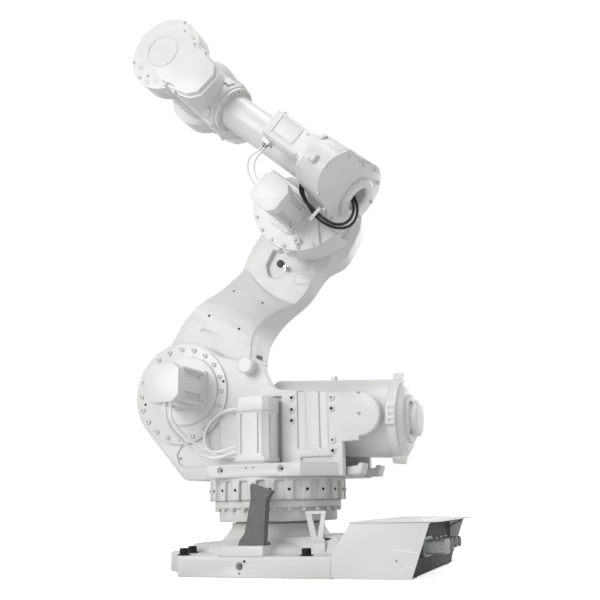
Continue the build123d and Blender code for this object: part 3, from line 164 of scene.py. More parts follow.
def make_smooth_enamel():
    # The same enamel on machined and die-cast housings: smoother, a little glossier,
    # with faint orange peel
    material, tree, shader, place = new_material("sprayed_enamel_on_housing", "DEDEDC", 0.34)
    blot = spread(tree, noise(tree, place, 180, 2), 0, 1)
    tree.links.new(tint(tree, blot, "DADAD8", "E1E1DF"), shader.inputs["Base Color"])
    tree.links.new(spread(tree, noise(tree, place, 40, 2), 0.3, 0.4), shader.inputs["Roughness"])
    peel = noise(tree, place, 3, 2)
    relief(tree, shader, peel, 0.05, 0.5, 4)
    shader.inputs["Coat Weight"].default_value = 0.12
    shader.inputs["Coat Roughness"].default_value = 0.2
    return material


def make_sheet_enamel():
    # Powder coat on bent steel sheet: even and slightly pebbled
    material, tree, shader, place = new_material("powder_coat_on_sheet", "DFDFDD", 0.45)
    blot = spread(tree, noise(tree, place, 320, 2), 0, 1)
    tree.links.new(tint(tree, blot, "DADAD9", "E2E2E0"), shader.inputs["Base Color"])
    tree.links.new(spread(tree, noise(tree, place, 90, 2), 0.4, 0.5), shader.inputs["Roughness"])
    relief(tree, shader, noise(tree, place, 2.5, 3), 0.06, 0.5)
    return material


def scratch(tree, place, start, end, waver_mm):
    """Mask of a thin scratch between two (x, z) places in millimetres on a side wall."""
    across, _, up = add_node(tree, "ShaderNodeSeparateXYZ", links={0: place}).outputs
    slope = (end[1] - start[1]) / (end[0] - start[0])
    settings = {"operation": "MULTIPLY_ADD", 1: -slope, 2: slope * start[0] - start[1]}
    line = add_node(tree, "ShaderNodeMath", settings, {0: across}).outputs[0]
    gap = add_node(tree, "ShaderNodeMath", {"operation": "ADD"}, {0: up, 1: line}).outputs[0]
    waver = spread(tree, noise(tree, place, 42, 2), -waver_mm, waver_mm)
    gap = add_node(tree, "ShaderNodeMath", {"operation": "ADD"}, {0: gap, 1: waver}).outputs[0]
    gap = add_node(tree, "ShaderNodeMath", {"operation": "ABSOLUTE"}, {0: gap}).outputs[0]
    # Bare to 0.8 mm from its line, gone at 2.4 mm
    thin = spread(tree, gap, 1, 0, 0.8, 2.4)
    settings = {"operation": "SUBTRACT", 1: (start[0] + end[0]) / 2}
    off = add_node(tree, "ShaderNodeMath", settings, {0: across}).outputs[0]
    off = add_node(tree, "ShaderNodeMath", {"operation": "ABSOLUTE"}, {0: off}).outputs[0]
    half = abs(end[0] - start[0]) / 2
    within = spread(tree, off, 1, 0, half * 0.8, half)
    settings = {"operation": "MULTIPLY"}
    return add_node(tree, "ShaderNodeMath", settings, {0: thin, 1: within}).outputs[0]


def make_scratched_sheet():
    # The box's left side: the same powder coat, scratched near its rear corner by fork or pallet
    material, tree, shader, place = new_material("scratched_powder_coat", "DFDFDD", 0.45)
    blot = spread(tree, noise(tree, place, 320, 2), 0, 1)
    colour = tint(tree, blot, "DADAD9", "E2E2E0")
    scratched = {"data_type": "RGBA", 7: srgb("F4F4F2")}
    for start, end, waver_mm in (
        ((-612, 108), (-712, 97), 4),
        ((-594, 43), (-636, 19), 5),
        ((-634, 36), (-686, 50), 3),
    ):
        mask = scratch(tree, place, start, end, waver_mm)
        colour = add_node(tree, "ShaderNodeMix", scratched, {0: mask, 6: colour}).outputs[2]
    tree.links.new(colour, shader.inputs["Base Color"])
    tree.links.new(spread(tree, noise(tree, place, 90, 2), 0.4, 0.5), shader.inputs["Roughness"])
    relief(tree, shader, noise(tree, place, 2.5, 3), 0.06, 0.5)
    return material


def make_dark_panel():
    # Black powder coat on the connector panel
    material, tree, shader, place = new_material("black_powder_coat", "1B1B1D", 0.55)
    tree.links.new(spread(tree, noise(tree, place, 30, 3), 0.48, 0.62), shader.inputs["Roughness"])
    relief(tree, shader, noise(tree, place, 2.5, 3), 0.08, 0.6)
    return material


def make_turned_steel():
    # Turned steel of the rod, the pin and the tool flange: fine rings across the light
    material, tree, shader, place = new_material("turned_steel", "A9ABAD", 0.28, 1.0)
    tree.links.new(spread(tree, noise(tree, place, 12, 4), 0.22, 0.36), shader.inputs["Roughness"])
    relief(tree, shader, noise(tree, place, 1.2, 2), 0.02, 0.4)
    return material


def make_zinc():
    # Zinc-plated steel of brackets and screws: grey with cloudy passivation
    material, tree, shader, place = new_material("zinc_plated_steel", "9A9C9E", 0.38, 0.9)
    cloud = spread(tree, noise(tree, place, 9, 4), 0, 1)
    tree.links.new(tint(tree, cloud, "8E9092", "A8AAAB"), shader.inputs["Base Color"])
    tree.links.new(spread(tree, noise(tree, place, 5, 3), 0.3, 0.5), shader.inputs["Roughness"])
    return material


def make_bare_casting():
    # Unpainted sand casting: dull grey, speckled by the sand
    material, tree, shader, place = new_material("bare_sand_casting", "69696A", 0.7, 0.15)
    speck = spread(tree, noise(tree, place, 3.5, 6, 0.8), 0, 1, 0.35, 0.65)
    tree.links.new(tint(tree, speck, "4C4C4D", "838384"), shader.inputs["Base Color"])
    relief(tree, shader, noise(tree, place, 3, 6, 0.7), 0.3, 0.6)
    return material


def make_cable_jacket(name, colour, roughness):
    # Extruded PVC or polyurethane jacket: even and waxy, with a slow sheen change along it
    material, tree, shader, place = new_material(name, colour, roughness)
    sheen = spread(tree, noise(tree, place, 24, 2), roughness - 0.06, roughness + 0.08)
    tree.links.new(sheen, shader.inputs["Roughness"])
    relief(tree, shader, noise(tree, place, 3, 2), 0.05, 0.4)
    return material


def make_moulded_plastic(name, colour, roughness):
    # Injection-moulded plastic of plugs and marker plates: fine spark-eroded grain
    material, tree, shader, place = new_material(name, colour, roughness)
    relief(tree, shader, noise(tree, place, 1.5, 3), 0.04, 0.5)
    sheen = spread(tree, noise(tree, place, 16, 2), roughness - 0.05, roughness + 0.05)
    tree.links.new(sheen, shader.inputs["Roughness"])
    return material


def make_chrome():
    # Chromed brass of the hose fitting
    material, tree, shader, place = new_material("chromed_brass", "D8D9DB", 0.1, 1.0)
    tree.links.new(spread(tree, noise(tree, place, 10, 2), 0.07, 0.16), shader.inputs["Roughness"])
    return material


def make_black_steel():
    # Black-oxide steel of the hold-down bolts
    material, tree, shader, place = new_material("black_oxide_steel", "1E1E20", 0.42, 0.6)
    tree.links.new(spread(tree, noise(tree, place, 8, 3), 0.35, 0.52), shader.inputs["Roughness"])
    return material


CAST = make_cast_enamel()
HOUSING = make_smooth_enamel()
SHEET = make_sheet_enamel()
SCUFFED_SHEET = make_scratched_sheet()
PANEL = make_dark_panel()
STEEL = make_turned_steel()
ZINC = make_zinc()
BARE_CASTING = make_bare_casting()
BLACK_STEEL = make_black_steel()
CHROME = make_chrome()
BLACK_JACKET = make_cable_jacket("black_cable_jacket", "161617", 0.42)
WHITE_JACKET = make_cable_jacket("white_cable_jacket", "EFEFED", 0.34)
BLACK_PLASTIC = make_moulded_plastic("black_moulded_plastic", "151516", 0.5)
WHITE_PLASTIC = make_moulded_plastic("white_marker_plate", "E4E4E2", 0.45)

FINISHES = {
    "base_casting": CAST,
    "swivel_frame": CAST,
    "swivel_flange": CAST,
    "ribbed_ring": CAST,
    "lower_arm": CAST,
    "arm_housing": CAST,
    "rear_support": CAST,
    "box_side_left": SCUFFED_SHEET,
    "box_side_right": SHEET,
    "box_floor": SHEET,
    "box_lid": SHEET,
    "connector_panel": PANEL,
    "connector_hood": ZINC,
    "round_connectors": ZINC,
    "side_bracket": BARE_CASTING,
    "strap_bracket": SHEET,
    "balance_pin": STEEL,
    "piston_rod": STEEL,
    "turning_disc": STEEL,
    "pocket_plug": BLACK_PLASTIC,
    "cable_tag": WHITE_PLASTIC,
}

# Sharp CAD edges are broken by this much, in millimetres
USUAL_EDGE_BREAK = 2.5
EDGE_BREAKS = {
    "base_casting": 3,
    "swivel_frame": 10,
    "rear_cover": 5,
    "lower_arm": 14,
    "arm_housing": 6,
    "wrist_housing": 8,
    "box_lid": 1,
    "box_side_left": 1,
    "box_side_right": 1,
    "box_floor": 1,
    "connector_panel": 1,
    "strap_bracket": 1,
    "balance_pin": 1,
    "turning_disc": 1,
}
# Edges flatter than FLAT are merged into their faces, those sharper than SHARP are broken
FLAT = math.radians(0.6)
SHARP = math.radians(28)
SAME_POINT = 0.02 * MM


def body_of_node(name):
    for body, members in frame["record"]["behaviour"]["bodies"].items():
        if name in members:
            return body


def broken_edges(name):
    """The CAD node with its sharp edges rounded as paint and deburring leave them."""
    mesh = NODES[name].data.copy()
    mesh.name = name + "_finished"
    shape = bmesh.new()
    shape.from_mesh(mesh)
    bmesh.ops.remove_doubles(shape, verts=shape.verts, dist=SAME_POINT)
    bmesh.ops.dissolve_limit(shape, angle_limit=FLAT, verts=shape.verts, edges=shape.edges)
    shape.to_mesh(mesh)
    shape.free()
    for face in mesh.polygons:
        face.use_smooth = True
    mesh.materials.clear()
    mesh.materials.append(FINISHES.get(name, HOUSING))
    piece = bpy.data.objects.new(name + "_finished", mesh)
    SCENE.collection.objects.link(piece)
    edge = piece.modifiers.new("edge_break", "BEVEL")
    edge.width = EDGE_BREAKS.get(name, USUAL_EDGE_BREAK) * MM
    edge.segments = 3
    edge.limit_method = "ANGLE"
    edge.angle_limit = SHARP
    edge.harden_normals = True
    edge.use_clamp_overlap = True
    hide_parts(name)
    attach(piece, body_of_node(name))


# Camera


def photo_camera():
    """The camera at the photograph's place, fitted to the arm's axes and the foot's corners."""
    right = Vector((-0.93525, -0.35349, -0.01892))
    up = Vector((-0.10851, 0.23541, 0.96582))
    forward = Vector((0.33695, -0.90534, 0.25852))
    data = bpy.data.cameras.new("photo_camera")
    data.sensor_width = 36.0
    data.lens = 45.866
    data.clip_start = 0.05
    data.clip_end = 200
    camera = bpy.data.objects.new("photo_camera", data)
    SCENE.collection.objects.link(camera)
    turn = Matrix((right, up, -forward)).transposed()
    camera.matrix_world = Matrix.Translation((-1.3435, 3.2816, 0.2741)) @ turn.to_4x4()
    SCENE.camera = camera


photo_camera()

# Cables, along the same points as the part's source

ARM_CABLE_1 = (
    (-65.1, 0, 172),
    (-120, 0, 172),
    (-172, 3, 166),
    (-226, 10, 138),
    (-268, 28, 86),
    (-284, 64, 34),
    (-262, 104, -10),
    (-206, 132, -30),
    (-146, 143, -29),
    (-92, 152, -9),
    (-44, 166, 14),
    (-33, 190, 36),
    (-33, 214, 60),
    (-33, 214, 82),
)
ARM_CABLE_2 = (
    (-65.1, 23, 160),
    (-122, 23, 160),
    (-178, 27, 152),
    (-226, 36, 122),
    (-258, 54, 76),
    (-266, 84, 30),
    (-244, 116, -4),
    (-196, 138, -14),
    (-140, 155, -12),
    (-90, 171, -6),
    (-42, 190, 12),
    (-34, 220, 30),
    (-34, 240, 54),
    (-34, 240, 82),
)
WHITE_HOSE_1 = (
    (273, 212, 98),
    (273, 212, 56),
    (300, 208, 10),
    (278, 204, -40),
    (226, 200, -76),
    (160, 200, -88),
    (78, 200, -88),
)
WHITE_HOSE_2 = (
    (251, 222, 98),
    (251, 222, 58),
    (258, 218, 12),
    (234, 212, -32),
    (190, 206, -58),
    (136, 204, -66),
    (78, 204, -66),
)
SHOULDER_CABLE_1 = (
    (346, 420, 706),
    (346, 420, 660),
    (350, 384, 618),
    (340, 330, 576),
    (316, 278, 534),
    (278, 240, 498),
    (230, 220, 478),
    (176, 212, 480),
    (128, 212, 500),
    (80, 212, 500),
)
SHOULDER_CABLE_2 = (
    (318, 424, 706),
    (318, 424, 664),
    (322, 392, 628),
    (314, 340, 588),
    (290, 292, 550),
    (254, 256, 520),
    (212, 236, 502),
    (168, 232, 504),
    (126, 232, 520),
    (80, 232, 520),
)
SHOULDER_LOOP = (
    (82, 196, 690),
    (140, 196, 690),
    (192, 188, 680),
    (238, 182, 652),
    (276, 182, 608),
    (284, 182, 556),
    (258, 184, 512),
    (210, 188, 486),
    (152, 196, 482),
    (80, 196, 482),
)


def cable(node, body, route, diameter, material):
    """A cable on one smooth line through its route's control points, all in metres."""
    line = bpy.data.curves.new(node + "_jacket", "CURVE")
    line.dimensions = "3D"
    line.resolution_u = 10
    spline = line.splines.new("NURBS")
    spline.points.add(len(route) - 1)
    for index, place in enumerate(route):
        spline.points[index].co = (place.x, place.y, place.z, 1.0)
    spline.order_u = 3
    spline.use_endpoint_u = True
    line.bevel_depth = diameter / 2
    line.bevel_resolution = 5
    line.use_fill_caps = True
    line.materials.append(material)
    piece = bpy.data.objects.new(node + "_jacket", line)
    SCENE.collection.objects.link(piece)
    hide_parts(node)
    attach(piece, body)


# Node, body, coordinates of its route, route, diameter and length in metres, jacket
CABLES = (
    ("arm_cable_1", "upper_arm", arm_point, ARM_CABLE_1, 0.014, 0.686, BLACK_JACKET),
    ("arm_cable_2", "upper_arm", arm_point, ARM_CABLE_2, 0.014, 0.642, BLACK_JACKET),
    ("white_hose_1", "upper_arm", arm_point, WHITE_HOSE_1, 0.010, 0.356, WHITE_JACKET),
    ("white_hose_2", "upper_arm", arm_point, WHITE_HOSE_2, 0.010, 0.298, WHITE_JACKET),
    ("shoulder_cable_1", "swivel", point, SHOULDER_CABLE_1, 0.014, 0.511, WHITE_JACKET),
    ("shoulder_cable_2", "swivel", point, SHOULDER_CABLE_2, 0.010, 0.461, WHITE_JACKET),
    ("shoulder_loop", "swivel", point, SHOULDER_LOOP, 0.014, 0.507, WHITE_JACKET),
)
for cable_node, body, place_of, route, diameter, length, material in CABLES:
    points = [place_of(*place) for place in route]
    cable(cable_node, body, points, diameter, material)

CABLE_NODES = {row[0] for row in CABLES}
for node_name in NODES:
    if node_name not in CABLE_NODES:
        broken_edges(node_name)

# Screws


def screw_tree():
    """Geometry nodes that put a socket head screw on every point of a mesh, along its facing."""
    tree = bpy.data.node_groups.new("socket_head_screws", "GeometryNodeTree")
    face = tree.interface
    face.new_socket("Geometry", in_out="INPUT", socket_type="NodeSocketGeometry")
    for title in ("Head Radius", "Head Height", "Socket Share"):
        face.new_socket(title, in_out="INPUT", socket_type="NodeSocketFloat")
    face.new_socket("Material", in_out="INPUT", socket_type="NodeSocketMaterial")
    face.new_socket("Geometry", in_out="OUTPUT", socket_type="NodeSocketGeometry")
    given = add_node(tree, "NodeGroupInput").outputs
    head = add_node(
        tree, "GeometryNodeMeshCylinder", {"Vertices": 18}, {"Radius": given[1], "Depth": given[2]}
    )
    lift = add_node(tree, "ShaderNodeMath", {"operation": "MULTIPLY", 1: 0.5}, {0: given[2]})
    up = add_node(tree, "ShaderNodeCombineXYZ", links={"Z": lift.outputs[0]})
    head = add_node(
        tree, "GeometryNodeTransform",
        links={"Geometry": head.outputs["Mesh"], "Translation": up.outputs[0]},
    )
    top = head.outputs[0]
    # The head's upper face is drawn in and up to its rim, then in again and down as its socket
    picked = add_node(tree, "GeometryNodeInputNormal")
    picked = add_node(tree, "ShaderNodeSeparateXYZ", links={0: picked.outputs[0]})
    picked = add_node(
        tree, "ShaderNodeMath", {"operation": "GREATER_THAN", 1: 0.9}, {0: picked.outputs[2]}
    ).outputs[0]
    rim = add_node(tree, "ShaderNodeMath", {"operation": "MULTIPLY", 1: 0.12}, {0: given[1]})
    deep = add_node(tree, "ShaderNodeMath", {"operation": "MULTIPLY", 1: -0.6}, {0: given[2]})
    steps = ((rim.outputs[0], 0.86), (None, given[3]), (deep.outputs[0], 1.0))
    for height, share in steps:
        grown = add_node(
            tree, "GeometryNodeExtrudeMesh", {"mode": "FACES", "Individual": False},
            {"Mesh": top, "Selection": picked},
        )
        if height is None:
            grown.inputs["Offset Scale"].default_value = 0.0
        else:
            tree.links.new(height, grown.inputs["Offset Scale"])
        picked = grown.outputs["Top"]
        scaled = add_node(
            tree, "GeometryNodeScaleElements", {"domain": "FACE"},
            {"Geometry": grown.outputs["Mesh"], "Selection": picked},
        )
        if isinstance(share, float):
            scaled.inputs["Scale"].default_value = share
        else:
            tree.links.new(share, scaled.inputs["Scale"])
        top = scaled.outputs[0]
    facing = add_node(
        tree, "GeometryNodeInputNamedAttribute", {"data_type": "FLOAT_VECTOR", "Name": "facing"}
    )
    turn = add_node(
        tree, "FunctionNodeAlignRotationToVector", {"axis": "Z"}, {"Vector": facing.outputs[0]}
    )
    put = add_node(
        tree, "GeometryNodeInstanceOnPoints",
        links={"Points": given[0], "Instance": top, "Rotation": turn.outputs[0]},
    )
    real = add_node(tree, "GeometryNodeRealizeInstances", links={"Geometry": put.outputs[0]})
    done = add_node(
        tree, "GeometryNodeSetMaterial", links={"Geometry": real.outputs[0], "Material": given[4]}
    )
    add_node(tree, "NodeGroupOutput", links={0: done.outputs[0]})
    return tree


SCREWS = screw_tree()


def socket_id(tree, title):
    """Identifier of the tree's input with this title."""
    for item in tree.interface.items_tree:
        if item.name == title and item.in_out == "INPUT":
            return item.identifier


def screws(name, body, places, head_radius, head_height, material, socket_share=0.55):
    """Screws in millimetres at places, a list of (point, facing)."""
    mesh = bpy.data.meshes.new(name)
    mesh.from_pydata([place for place, facing in places], [], [])
    attribute = mesh.attributes.new("facing", "FLOAT_VECTOR", "POINT")
    for index, (place, facing) in enumerate(places):
        attribute.data[index].vector = facing
    seed = bpy.data.objects.new(name, mesh)
    SCENE.collection.objects.link(seed)
    modifier = seed.modifiers.new("screws", "NODES")
    modifier.node_group = SCREWS
    modifier[socket_id(SCREWS, "Head Radius")] = head_radius * MM
    modifier[socket_id(SCREWS, "Head Height")] = head_height * MM
    modifier[socket_id(SCREWS, "Socket Share")] = socket_share
    modifier[socket_id(SCREWS, "Material")] = material
    bpy.context.view_layer.update()
    graph = bpy.context.evaluated_depsgraph_get()
    made = bpy.data.meshes.new_from_object(seed.evaluated_get(graph))
    seed.modifiers.remove(modifier)
    bpy.data.objects.remove(seed)
    made.name = name
    piece = bpy.data.objects.new(name, made)
    SCENE.collection.objects.link(piece)
    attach(piece, body)


def fan(at, radius, angles, facing):
    """Places on a circle at angles in degrees: at(a, b) is the point at offsets from its centre."""
    turns = [math.radians(angle) for angle in angles]
    return [(at(radius * math.cos(turn), radius * math.sin(turn)), facing) for turn in turns]


def ring(at, radius, count, first, facing):
    """Places evenly round a whole circle, starting at the angle first."""
    return fan(at, radius, [first + 360 * index / count for index in range(count)], facing)


SURFACES = {}


def seat(node, place, facing):
    """Where a line that comes against facing, through the place, first meets the node."""
    if node not in SURFACES:
        mesh = NODES[node].data
        SURFACES[node] = BVHTree.FromPolygons(
            [vertex.co for vertex in mesh.vertices], [face.vertices for face in mesh.polygons]
        )
    found = SURFACES[node].ray_cast(place + Vector(facing) * 0.2, -Vector(facing), 0.5)[0]
    return (found or place, facing)


def spots(at, places, facing):
    """Places of at() for each of the given sets of coordinates."""
    return [(at(*place), facing) for place in places]


# Faces that carry screws, in millimetres, as in the part's source
GEAR_FACE = 172
DRUM_FACE = 73
REAR_COVER_FACE = -177
TUBE_FLANGE_FACE = 690
WRIST_COVER_FACE = 300
CAP_RING_FACE = -188
FLANGE_UNDERSIDE = 263
WALL_FACE = 164
FOOT_TOP = 81
RING_HOLE_BOTTOM = 303
RING_HOLE_HEIGHT = 337
# Millimetres left of the robot's middle, round which seat() looks for a surface
FRAME_OUTSIDE = 310
ARM_OUTSIDE = 400
FOOT_OUTSIDE = 420

UP = Vector((0, 0, 1))
FRONT = Vector((1, 0, 0))
TRUNNION = Vector((-433, -60, 642))
CYLINDER_TILT = math.radians(3.396)
CYLINDER_ALONG = Vector((math.cos(CYLINDER_TILT), 0, math.sin(CYLINDER_TILT)))
CYLINDER_UP = Vector((-math.sin(CYLINDER_TILT), 0, math.cos(CYLINDER_TILT)))


def cylinder_point(along, left, up):
    """Point from its millimetres along, left of and above the balancing cylinder's trunnion."""
    return (TRUNNION + CYLINDER_ALONG * along + LEFT * left + CYLINDER_UP * up) * MM


def wrist_point(along, above):
    """Point on the wrist's left cover from its millimetres along and above the wrist axis."""
    return arm_point(WRIST + along, WRIST_COVER_FACE, AXIS_4 + above)


def gear_point(front, up):
    """Point on the shoulder gear's face from its millimetres off the shoulder axis."""
    return point(SHOULDER.x + front, GEAR_FACE, SHOULDER.z + up)


# Socket head cap screws, painted over with the castings
screws(
    "shoulder_gear_screws", "swivel",
    ring(gear_point, 208, 20, 71.9, LEFT),
    10.5, 9, HOUSING,
)
screws(
    "drum_screws", "upper_arm",
    fan(
        lambda along, above: arm_point(along, DRUM_FACE, above),
        241, [-55.5 - 18 * index for index in range(6)], LEFT,
    ),
    8.5, 8, HOUSING,
)
screws(
    "rear_cover_screws", "upper_arm",
    spots(
        lambda left, above: arm_point(REAR_COVER_FACE, left, above),
        (
            (390, 165), (314, 51), (175, 20), (301, 268), (140, 295), (20, 322),
            (-90, 300), (-165, 215), (-165, 120), (-70, 28), (55, 14),
        ),
        -ALONG,
    ),
    10, 8, HOUSING,
)
screws(
    "tube_flange_screws", "forearm",
    ring(
        lambda left, above: arm_point(TUBE_FLANGE_FACE, left, AXIS_4 + above),
        109, 24, 7.5, -ALONG,
    ),
    7, 9, HOUSING,
)
screws(
    "wrist_cover_screws", "forearm",
    spots(
        wrist_point,
        ((-10, 181), (-44, 145), (-121, 139), (-149, 119), (95, -136), (0, -178), (-36, -148)),
        LEFT,
    ),
    8, 7, HOUSING,
)
screws(
    "swivel_flange_screws", "swivel",
    ring(lambda x, y: point(x, y, FLANGE_UNDERSIDE), 271, 26, 10.8, -UP),
    10, 12, HOUSING,
)
# Bare zinc-plated screws on the cylinder's cap
screws(
    "cylinder_cap_screws", "balancer",
    ring(lambda left, up: cylinder_point(CAP_RING_FACE, left, up), 92, 4, 45, -CYLINDER_ALONG),
    8, 9, ZINC,
)
# Black screws at the bottom of their holes
ring_screws = []
for index in range(24):
    turn = math.radians(0.8 + 15 * index)
    outward = Vector((math.cos(turn), math.sin(turn), 0))
    bottom = outward * RING_HOLE_BOTTOM * MM + point(0, 0, RING_HOLE_HEIGHT)
    ring_screws.append((bottom, outward))
screws("ring_screws", "swivel", ring_screws, 6, 1.5, BLACK_STEEL)
screws(
    "wall_screws", "swivel",
    spots(
        lambda x, z: point(x, WALL_FACE, z),
        ((-134, 727), (-134, 675), (-133, 628), (-316, 670), (-317, 492)),
        LEFT,
    ),
    7, 0.8, BLACK_STEEL,
)
screws(
    "shelf_screws", "swivel",
    [seat("swivel_frame", point(x, FRAME_OUTSIDE, 419), LEFT) for x in (141, -135)],
    6.5, 8, BLACK_STEEL,
)
# Black discs 1 mm proud of the gear face: painted shade of two holes in it
screws(
    "shoulder_hole_shade_discs", "swivel",
    spots(gear_point, ((-217, 42), (188, -39)), LEFT),
    6, 1, BLACK_STEEL,
)
screws(
    "cheek_screws", "swivel",
    [
        seat("swivel_frame", point(x, FRAME_OUTSIDE, z), LEFT)
        for x, z in ((413, 487), (-437, 731), (-437, 642))
    ],
    6, 6, CAST,
)
# Black discs 0.8 mm proud of the shelf: painted shade of two small holes in it
screws(
    "shelf_hole_shade_discs", "swivel",
    [seat("swivel_frame", point(x, FRAME_OUTSIDE, 427), LEFT) for x in (21, -10)],
    3, 0.8, BLACK_STEEL,
)
screws(
    "motor_4_screws", "upper_arm",
    [
        seat("motor_4", arm_point(along, ARM_OUTSIDE, above), LEFT)
        for along, above in ((30, 228), (25, 117), (196, 252))
    ],
    6, 5, HOUSING,
)
# A black screw at (8, 13), and a black disc at (-14, 62) that is the painted shade of a hole inside
# a ring
screws(
    "foot_screw_and_hole_shade", "base",
    [
        seat("base_casting", point(x, FOOT_OUTSIDE, z), LEFT)
        for x, z in ((-14, 62), (8, 13))
    ],
    5, 1.5, BLACK_STEEL,
)
screws(
    "lower_arm_screws", "lower_arm",
    [
        seat("lower_arm", lower_point(front, 100, up), LEFT)
        for front, up in ((160, 533), (-3, 551), (132, 372), (-43, 390))
    ],
    6, 1.5, BLACK_STEEL,
)
# The outer and the inner four hold-down bolts, by their spacings along X and Y
FOOT_CENTRE = 15
hold_down = []
for spacing_x, spacing_y in ((540, 680), (630, 370)):
    for side_x in (-1, 1):
        for side_y in (-1, 1):
            x = FOOT_CENTRE + side_x * spacing_x / 2
            hold_down.append((point(x, side_y * spacing_y / 2, FOOT_TOP), UP))
screws("hold_down_bolts", "base", hold_down, 19, 26, BLACK_STEEL)

# Turned pieces: glands, washers, bosses, fitting and rivet


def turned(name, body, profile, places, material, sides=28):
    """Pieces turned to a profile of (radius, height) millimetres, one on each (point, facing)."""
    shape = bmesh.new()
    for place, facing in places:
        turn = Vector(facing).to_track_quat("Z", "Y").to_matrix()
        before = None
        for radius, height in profile:
            loop = []
            for index in range(sides if radius else 1):
                angle = 2 * math.pi * index / sides
                offset = Vector((radius * math.cos(angle), radius * math.sin(angle), height)) * MM
                loop.append(shape.verts.new(place + turn @ offset))
            if before:
                for index in range(sides):
                    corners = [
                        before[index % len(before)],
                        before[(index + 1) % len(before)],
                        loop[(index + 1) % len(loop)],
                        loop[index % len(loop)],
                    ]
                    shape.faces.new(list(dict.fromkeys(corners)))
            before = loop
    bmesh.ops.recalc_face_normals(shape, faces=shape.faces)
    mesh = bpy.data.meshes.new(name)
    shape.to_mesh(mesh)
    shape.free()
    mesh.set_sharp_from_angle(angle=math.radians(30))
    mesh.materials.append(material)
    piece = bpy.data.objects.new(name, mesh)
    SCENE.collection.objects.link(piece)
    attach(piece, body)


GLAND = ((0, -1), (13, -1), (13, 3), (12, 4), (12, 9), (10.5, 11), (10.5, 17), (9, 20), (0, 20))
SMALL_GLAND = (
    (0, -1), (9.5, -1), (9.5, 3), (8.5, 4), (8.5, 8), (7.5, 10), (7.5, 15), (6.5, 17), (0, 17),
)
WASHER = ((13, 0), (27, 0), (27, 4), (13, 4), (13, 0))
FITTING = (
    (0, -4), (15, -4), (15, 10), (13, 12), (9, 12), (9, 22), (12, 24), (12, 34), (7, 38), (0, 38),
)
RIVET = ((0, -0.5), (4.5, -0.5), (4.5, 0.6), (3.4, 1.8), (1.6, 2.4), (0, 2.5))
BOSS = ((0, -1), (11, -1), (10, 20), (8.5, 22), (0, 22))
turned(
    "shoulder_glands", "swivel", GLAND,
    [
        (point(80, 212, 500), FRONT), (point(346, 420, 706), -UP),
        (point(80, 196, 482), FRONT), (point(82, 196, 690), FRONT),
    ],
    WHITE_PLASTIC,
)
turned(
    "small_shoulder_glands", "swivel", SMALL_GLAND,
    [(point(80, 232, 520), FRONT), (point(318, 424, 706), -UP)],
    WHITE_PLASTIC,
)
turned(
    "hose_glands", "upper_arm", SMALL_GLAND,
    [
        (arm_point(273, 212, 98), -ABOVE), (arm_point(251, 222, 98), -ABOVE),
        (arm_point(78, 200, -88), ALONG), (arm_point(78, 204, -66), ALONG),
    ],
    ZINC,
)
turned(
    "arm_cable_glands", "upper_arm", GLAND,
    [(arm_point(-33, 214, 82), -ABOVE), (arm_point(-34, 240, 82), -ABOVE)],
    BLACK_PLASTIC,
)
# Bosses on the wrist housing round the rim of both covers, none on its narrower neck
RIM = (0.2, 0.28)
cover_bosses = []
for along, above in (
    (-137, -127), (-209, -131), (-269, -134), (-328, -102), (-359, -70), (-369, -15),
    (-359, 29), (-352, 64), (-326, 99), (-289, 117), (-251, 123), (-211, 115),
):
    for side in (1, -1):
        outside = arm_point(WRIST + along, side * WRIST_COVER_FACE, AXIS_4 + above)
        place, facing = seat("wrist_housing", outside, LEFT * side)
        if RIM[0] < abs(place.y) < RIM[1]:
            cover_bosses.append((place, facing))
turned("wrist_cover_bosses", "forearm", BOSS, cover_bosses, HOUSING, 20)
turned("hold_down_washers", "base", WASHER, hold_down, BLACK_STEEL, 36)
turned(
    "hose_fitting", "lower_arm", FITTING,
    [seat("lower_arm", lower_point(40, -150, 770), LEFT)], CHROME, 24,
)
turned("box_rivets", "base", RIVET, [(point(-626, 395, 68), LEFT)], ZINC)

# Floor and light


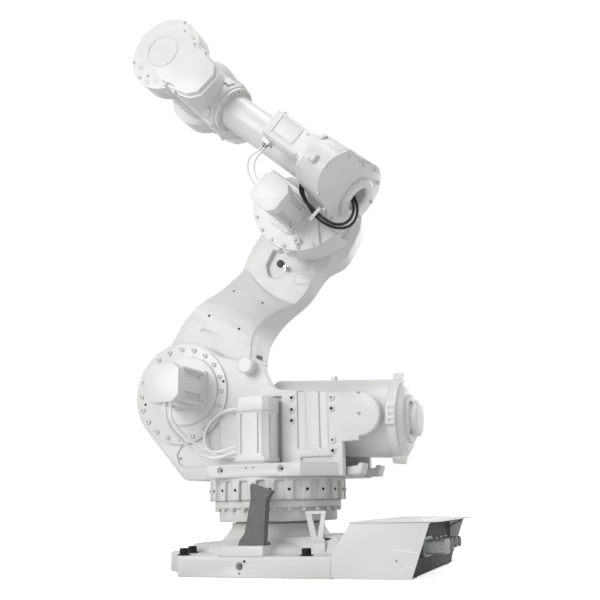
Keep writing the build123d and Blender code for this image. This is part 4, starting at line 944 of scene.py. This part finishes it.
def stage_floor():
    """A white paper floor that the camera sees as brighter than it lights the object."""
    mesh = bpy.data.meshes.new("floor")
    size = 30
    corners = [(-size, -size, 0), (size, -size, 0), (size, size, 0), (-size, size, 0)]
    mesh.from_pydata(corners, [], [(0, 1, 2, 3)])
    floor = bpy.data.objects.new("floor", mesh)
    SCENE.collection.objects.link(floor)
    material = bpy.data.materials.new("white_paper_floor")
    material.use_nodes = True
    tree = material.node_tree
    tree.nodes.clear()
    matt = add_node(tree, "ShaderNodeBsdfDiffuse", {"Color": srgb("E6E6E6")})
    glow = add_node(tree, "ShaderNodeEmission", {"Strength": 0.75})
    both = add_node(tree, "ShaderNodeAddShader", links={0: matt.outputs[0], 1: glow.outputs[0]})
    path = add_node(tree, "ShaderNodeLightPath")
    mixed = add_node(
        tree, "ShaderNodeMixShader",
        links={0: path.outputs["Is Camera Ray"], 1: matt.outputs[0], 2: both.outputs[0]},
    )
    add_node(tree, "ShaderNodeOutputMaterial", links={"Surface": mixed.outputs[0]})
    mesh.materials.append(material)


def white_world():
    """White to the camera and in reflections, and dim as a light."""
    world = bpy.data.worlds.new("studio")
    SCENE.world = world
    world.use_nodes = True
    tree = world.node_tree
    tree.nodes.clear()
    path = add_node(tree, "ShaderNodeLightPath")
    seen = add_node(
        tree, "ShaderNodeMath", {"operation": "MAXIMUM"},
        {0: path.outputs["Is Camera Ray"], 1: path.outputs["Is Transmission Ray"]},
    )
    seen = add_node(
        tree, "ShaderNodeMath", {"operation": "MAXIMUM"},
        {0: seen.outputs[0], 1: path.outputs["Is Glossy Ray"]},
    )
    white = srgb("FFFFFF")
    dim = add_node(tree, "ShaderNodeBackground", {"Color": white, "Strength": 0.36})
    full = add_node(tree, "ShaderNodeBackground", {"Color": white, "Strength": 1.0})
    mixed = add_node(
        tree, "ShaderNodeMixShader",
        links={0: seen.outputs[0], 1: dim.outputs[0], 2: full.outputs[0]},
    )
    add_node(tree, "ShaderNodeOutputWorld", links={"Surface": mixed.outputs[0]})


def softbox(name, place, target, size, watts):
    """A square area light in metres that faces its target."""
    lamp = bpy.data.lights.new(name, "AREA")
    lamp.shape = "SQUARE"
    lamp.size = size
    lamp.energy = watts
    holder = bpy.data.objects.new(name, lamp)
    SCENE.collection.objects.link(holder)
    holder.location = place
    toward = Vector(target) - Vector(place)
    holder.rotation_euler = toward.to_track_quat("-Z", "Y").to_euler()


stage_floor()
white_world()
softbox("key_light", (3.0, 7.5, 3.6), (0, 0, 1.2), 4.5, 355)
softbox("top_light", (-0.5, 1.0, 8.0), (0, 0, 1.0), 4.0, 190)
softbox("far_light", (-2.5, -6.5, 3.5), (0, 0, 1.2), 4.0, 130)
softbox("rear_light", (-4.5, 1.0, 2.5), (0, 0, 1.2), 3.0, 22)

SCENE.view_settings.view_transform = "Standard"
